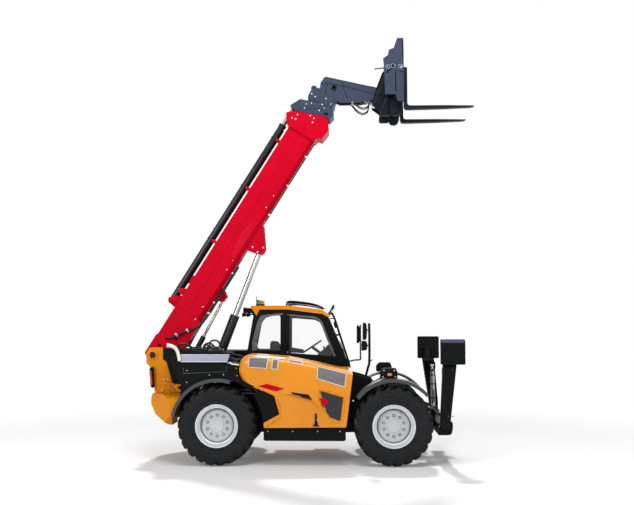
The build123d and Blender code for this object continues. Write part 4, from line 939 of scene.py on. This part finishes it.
# inside the cab: seat, controls and linings
cushions = {
    # middle, half length, half width, half thickness, lean in degrees, fill
    "seatSquab": ((-345, 695, 1262), 232, 228, 52, -4, 0.7),
    "seatBack": ((-640, 695, 1620), 300, 222, 58, 79, 0.7),
    "headRest": ((-672, 695, 1892), 66, 150, 46, 82, 0.8),
}
sewing = {"grid": 28, "corner": 6, "under": 0.75, "piping": 0.005}


def roundness(u, v):  # 1 on a rounded square's edge
    return (abs(u) ** sewing["corner"] + abs(v) ** sewing["corner"]) ** (1 / sewing["corner"])


def cushion(middle, along, wide, thick, lean):
    s, count, rise = Shape(), sewing["grid"], math.radians(lean)
    spread = [math.sin(math.pi / 2 * (2 * k / count - 1)) for k in range(count + 1)]

    def at(u, v, up):  # crowned top and bottom, sides drawn in, two sewn channels
        if max(abs(u), abs(v)) > 1e-6:
            inward = max(abs(u), abs(v)) / roundness(u, v)
            u, v = u * inward, v * inward
        edge = roundness(u, v)
        grow = 1 - 0.035 * (1 - min(abs(u), abs(v)) ** 2) * (edge > 0.98)
        crown = (1 - 0.30 * u * u - 0.35 * v * v) * max(0.0, 1 - edge ** 7) ** 0.5
        seam = 0.12 * math.exp(-((abs(v) - 0.56) / 0.035) ** 2)
        seam += 0.10 * math.exp(-((u - 0.15) / 0.03) ** 2) * (abs(v) < 0.56)
        x, z = along * u * grow, thick * crown * (1 - seam) * (1 if up else -sewing["under"])
        return Vector((middle[0] + x * math.cos(rise) - z * math.sin(rise), middle[1] + wide * v * grow,
                       middle[2] + x * math.sin(rise) + z * math.cos(rise))) / 1000
    tops = [[s.bm.verts.new(at(u, v, True)) for v in spread] for u in spread]
    lows = [[tops[i][j] if {i, j} & {0, count} else s.bm.verts.new(at(spread[i], spread[j], False))
             for j in range(count + 1)] for i in range(count + 1)]
    for i in range(count):
        for j in range(count):
            s.bm.faces.new([tops[i][j], tops[i + 1][j], tops[i + 1][j + 1], tops[i][j + 1]])
            s.bm.faces.new([lows[i][j], lows[i][j + 1], lows[i + 1][j + 1], lows[i + 1][j]])
    ring = [(0, j) for j in range(0, count, 2)] + [(i, count) for i in range(0, count, 2)]
    ring += [(count, count - j) for j in range(0, count, 2)] + [(count - i, 0) for i in range(0, count, 2)]
    return s.hose([tops[i][j].co.copy() for i, j in ring], sewing["piping"], 8, 2, loop=True)


for name, (*form, fill) in cushions.items():
    replaced = ["seat"] if name == "seatSquab" else None
    piece = cushion(*form).make(name, "vinyl", limit=70, replaces=replaced, slot="seat_vinyl")
s = Shape().side([(-560, 745), (-160, 745), (-170, 820), (-550, 820)], 500, 880)
for k in range(7):  # bellows under the seat
    grow, z = 10 if k % 2 else 0, 820 + 42 * k
    s.box(-540 + grow, -180 - grow, 510 + grow, 870 - grow, z, z + 42)
s.side([(-585, 1114), (-130, 1114), (-122, 1180), (-150, 1205), (-560, 1195), (-592, 1170)], 480, 910)
s.side([(-600, 1180), (-560, 1180), (-660, 1820), (-716, 1822), (-700, 1600)], 500, 890)
s.plates([(-600, 1220), (-690, 1600), (-700, 1880), (-650, 1950), (-590, 1940), (-500, 1830), (-430, 1600),
        (-470, 1460), (-560, 1240)], (474, 914), 8)
s.plates([(-640, 1420), (-600, 1412), (-330, 1452), (-318, 1480), (-340, 1496), (-620, 1476)], (491, 899), 21)
s.rails([(-350, 1470), (-320, 1560), (-330, 1600)], [490], 11, 12, 5)
s.lathe((-330, 490, 1590), (0, 0, 1), [(12, 0), (24, 12), (27, 40), (20, 68), (8, 76)], 20)
s.make("seatFrame", "plastic", bevel=8, segments=3)
s = Shape().side([(100, 1640), (150, 1720), (250, 1800), (330, 1880), (400, 1900), (450, 1860), (500, 1720),
        (600, 1500), (560, 1480), (430, 1560), (250, 1600)], 480, 980)
s.side([(196, 1640), (244, 1712), (262, 1706), (214, 1630)], 540, 900)
s.plates([(430, 745), (500, 745), (500, 800), (380, 860), (360, 840)], (600, 780), 40)
s.make("dashPod", "plastic", bevel=10, segments=3)
steering = {"radius": 185, "middle": (52, 700, 1856)}
rim = [Vector((math.cos(a) * 0.83, math.sin(a), math.cos(a) * 0.55)) * steering["radius"] for a in circle(16)]
s = Shape().tube([Vector(steering["middle"]) + spot for spot in rim], 15, 12, 4, loop=True)
s.tube([(300, 640, 1720), (270, 560, 1800), (262, 540, 1842)], 8, 10, 5)
s.tube([(300, 760, 1720), (270, 850, 1790), (262, 872, 1830)], 8, 10, 5)
s.lathe((262, 540, 1836), (0, 0, 1), [(8, 0), (16, 8), (16, 26), (6, 34)], 16)
s.make("controls", "rubber")
s = Shape().tube([(660, 1146, 1520), (640, 1162, 1480), (600, 1162, 1200), (585, 1146, 1150)], 12, 12, 5)
s.tube([(690, 900, 1500), (640, 760, 1700), (560, 700, 1930)], 6, 8, 5)
s.tube([(545, 640, 1960), (585, 760, 1850)], 5, 8)
s.make("cabRails", "frameBlack")
s = Shape().side([(-416, 1470), (596, 1470), (604, 1440), (548, 1092), (531, 842), (-416, 842)], 1163, 1170)
s.make("doorSkin", "orange", "door", bevel=4)
s = Shape().side([(-352, 1436), (530, 1436), (492, 1120), (480, 1006), (-352, 1006)], 1166, 1173)
s.side([(420, 1490), (470, 1500), (500, 1420), (470, 1400), (430, 1410)], 1166, 1178)
s.tube([(430, 1164, 1480), (470, 1168, 1440), (480, 1164, 1400)], 8, 10, 4)
for z in (940, 1380, 2300):
    s.box(-446, -380, 1150, 1176, z - 30, z + 30)
s.make("doorTrim", "plastic", "door", bevel=3)
print("cab inside done")

# stabilisers: x is where the barrel's lower pin stands, and neck is the middle of the leg
stays = {"left": {"side": 1, "x": 2235, "neck": 2161}, "right": {"side": -1, "x": 2275, "neck": 2333}}
for name, row in stays.items():
    side, neck, label = row["side"], row["neck"], name.capitalize()
    base = Vector((row["x"], side * 760, 780))
    way = (Vector((row["x"], side * 900, 1500)) - base).normalized()

    def onLeg(t, lift=0, along=0):  # along the barrel, out from its inner face, along the machine
        return base + way * t + Vector((along, -side * lift * way.z, lift * abs(way.y)))
    long = [(60, 44, -18), (60, 62, -18), (140, 64, -18), (520, 60, -18), (600, 62, -18), (640, 44, -18)]
    short = [(80, 42, 16), (90, 60, 16), (220, 58, 16), (300, 56, 16)]
    s = Shape().tube([onLeg(*p) for p in long], 10).tube([onLeg(*p) for p in short], 8, 10)
    s.make("legHoses" + label, "hose", "leg_barrel_" + name)
    s = Shape().lathe(onLeg(650), way, [(20, -20), (42.5, -20), (42.5, 26), (36, 30), (21, 30)],
            30, hollow=True)
    for t in (150, 400, 560):
        s.lathe(onLeg(t), way, [(38.5, -10), (42.5, -10), (42.5, 10), (38.5, 10)], 30, hollow=True)
    s.make("legBands" + label, "cylinderBlack", "leg_barrel_" + name)
    s = Shape().bolts([(neck + 30, 1540)], 1086, 14, [side])
    s.bolts([(neck - 34, 800), (neck + 34, 800)], 1085.5, 16, [side])
    s.make("legBolts" + label, "iron", "leg_" + name)
    s = Shape()
    for turn in (-1, 1):
        s.bolt((neck + turn * 86.8, side * 1075, 1830), (turn, 0, 0), 22)
    s.make("footBolts" + label, "iron", "foot_" + name)
    (x0, y0, z0), (x1, y1, z1) = [[c * 1000 for c in corner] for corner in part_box("stabiliser_foot_" + name)]
    outer = y1 if side > 0 else y0
    # a lavender-blue strip along each foot's outer top edge, a painted highlight for the light from above on
    # the black chamfer
    s = Shape().side([(x0 + 12, z1 - 60), (x1 - 12, z1 - 60), (x1 - 12, z1 - 16), (x1 - 30, z1 - 4),
            (x0 + 30, z1 - 4), (x0 + 12, z1 - 16)], outer - side * 30, outer + side * 2)
    s.make("footTops" + label, "footTopHighlight", "foot_" + name, bevel=8, segments=3)
print("stabilisers done")

s = Shape().bolts([(2054, 880), (2092, 860), (1960, 900), (780, 980), (980, 940), (-1120, 1050),
        (-1300, 1060)], 385.5, 20)
s.bolts([(x, 560) for x in (-600, -200, 200, 560)], 1120.5, 12, nearSide)
s.bolt((2150, -1068, 640), (-1, 0, 0), 16).bolt((2150, -1020, 700), (-1, 0, 0), 16)
s.make("chassisBolts", "bareSteel")
s = Shape().side(oblong(-664, 650, 590, 604), -1127, -1118)
s.side([(-640, 412), (630, 412), (640, 424), (-650, 424)], -1126, -1118)
s.make("skirtRidges", "plastic", bevel=2)
s = Shape()
for line in ([(1900, 240, 800), (2000, 300, 870), (2120, 420, 850), (2200, 560, 800), (2240, 700, 790)],
        [(1900, 220, 760), (2010, 270, 840), (2140, 400, 810), (2210, 560, 770), (2250, 690, 772)]):
    s.twin(line, 12)
for x in (1425, -1425):
    s.twin([(x - 150, 230, 585), (x - 180, 240, 640), (x - 150, 245, 720), (x - 60, 244, 800)], 9, 10)
s.make("chassisHoses", "hose")
print("chassis done")

lights = {
    # name: place, aim, size, watts
    "key": ((-7.5, -12.0, 7.0), (0, 0, 2.6), 5.0, 820),
    "fill": ((9.0, -10.0, 4.5), (0, 0, 2.6), 7.0, 380),
    "crown": ((0.2, -5.2, 11.5), (0, -0.9, 1.5), 4.0, 520),
    "back": ((1.0, 11.0, 8.0), (0, 0, 3.0), 7.0, 160),
}
for name, (spot, aim, size, watts) in lights.items():
    lamp = add(name, bpy.data.lights.new(name, "AREA"))
    lamp.data.size, lamp.data.energy = size, watts
    lamp.location = spot
    turnTo(lamp, Vector(aim) - Vector(spot))
sunlight = {"energy": 2.3, "angle": 0.09, "way": (0.04, -0.56, -0.83)}  # so that the shadow falls forward
sun = add("sun", bpy.data.lights.new("sun", "SUN"))
sun.data.energy, sun.data.angle = sunlight["energy"], sunlight["angle"]
turnTo(sun, sunlight["way"])

studio = {"ambient": 0.36, "backdrop": 1.0}
world = bpy.data.worlds.new("studio")
scene.world = world
world.use_nodes = True
sky = Nodes(world.node_tree)
ambient = sky.node("Background", {}, {"Color": (1, 1, 1), "Strength": studio["ambient"]})
white = sky.node("Background", {}, {"Color": (1, 1, 1), "Strength": studio["backdrop"]})
sky.show("World Output", sky.node("MixShader", {}, {0: sky.plainly(), 1: ambient, 2: white}))

# the floor is white, keeps the shadow near the machine and fades to the white beyond
stage = {"half": 60, "near": 5.4, "far": 9.5, "shade": 0.66, "lift": 0.10}
floorMesh = bpy.data.meshes.new("floor")
corners = [(x, y, 0) for x, y in oblong(-stage["half"], stage["half"], -stage["half"], stage["half"])]
floorMesh.from_pydata(corners, [], [(0, 1, 2, 3)])
floor = add("floor", floorMesh)
floor.location.z = cadBox[0][2] - 0.001
fp = Paint("floor", Roughness=1.0, Specular_IOR_Level=0.0)
fp.feed("Base Color", fp.shades(fp.noise(3), (stage["shade"],) * 3, 0.99))
reach = fp.node("VectorMath", {"operation": "LENGTH"}, {0: fp.place()}, out="Value")
direct = fp.plainly()
glow = fp.node("Emission", {}, {"Color": (1, 1, 1), "Strength": 1.0})
dim = fp.node("Emission", {}, {"Color": (1, 1, 1), "Strength": stage["lift"]})
lit = Wire(fp, fp.shader.outputs[0])
raised = fp.node("AddShader", {}, {0: lit, 1: dim})
near = fp.node("MixShader", {}, {0: direct, 1: lit, 2: raised})
away = fp.band(reach, stage["near"], stage["far"]) * direct
fp.show("Material Output", fp.node("MixShader", {}, {0: away, 1: near, 2: glow}))
floorMesh.materials.append(fp.material)

scene.view_settings.view_transform = "Standard"
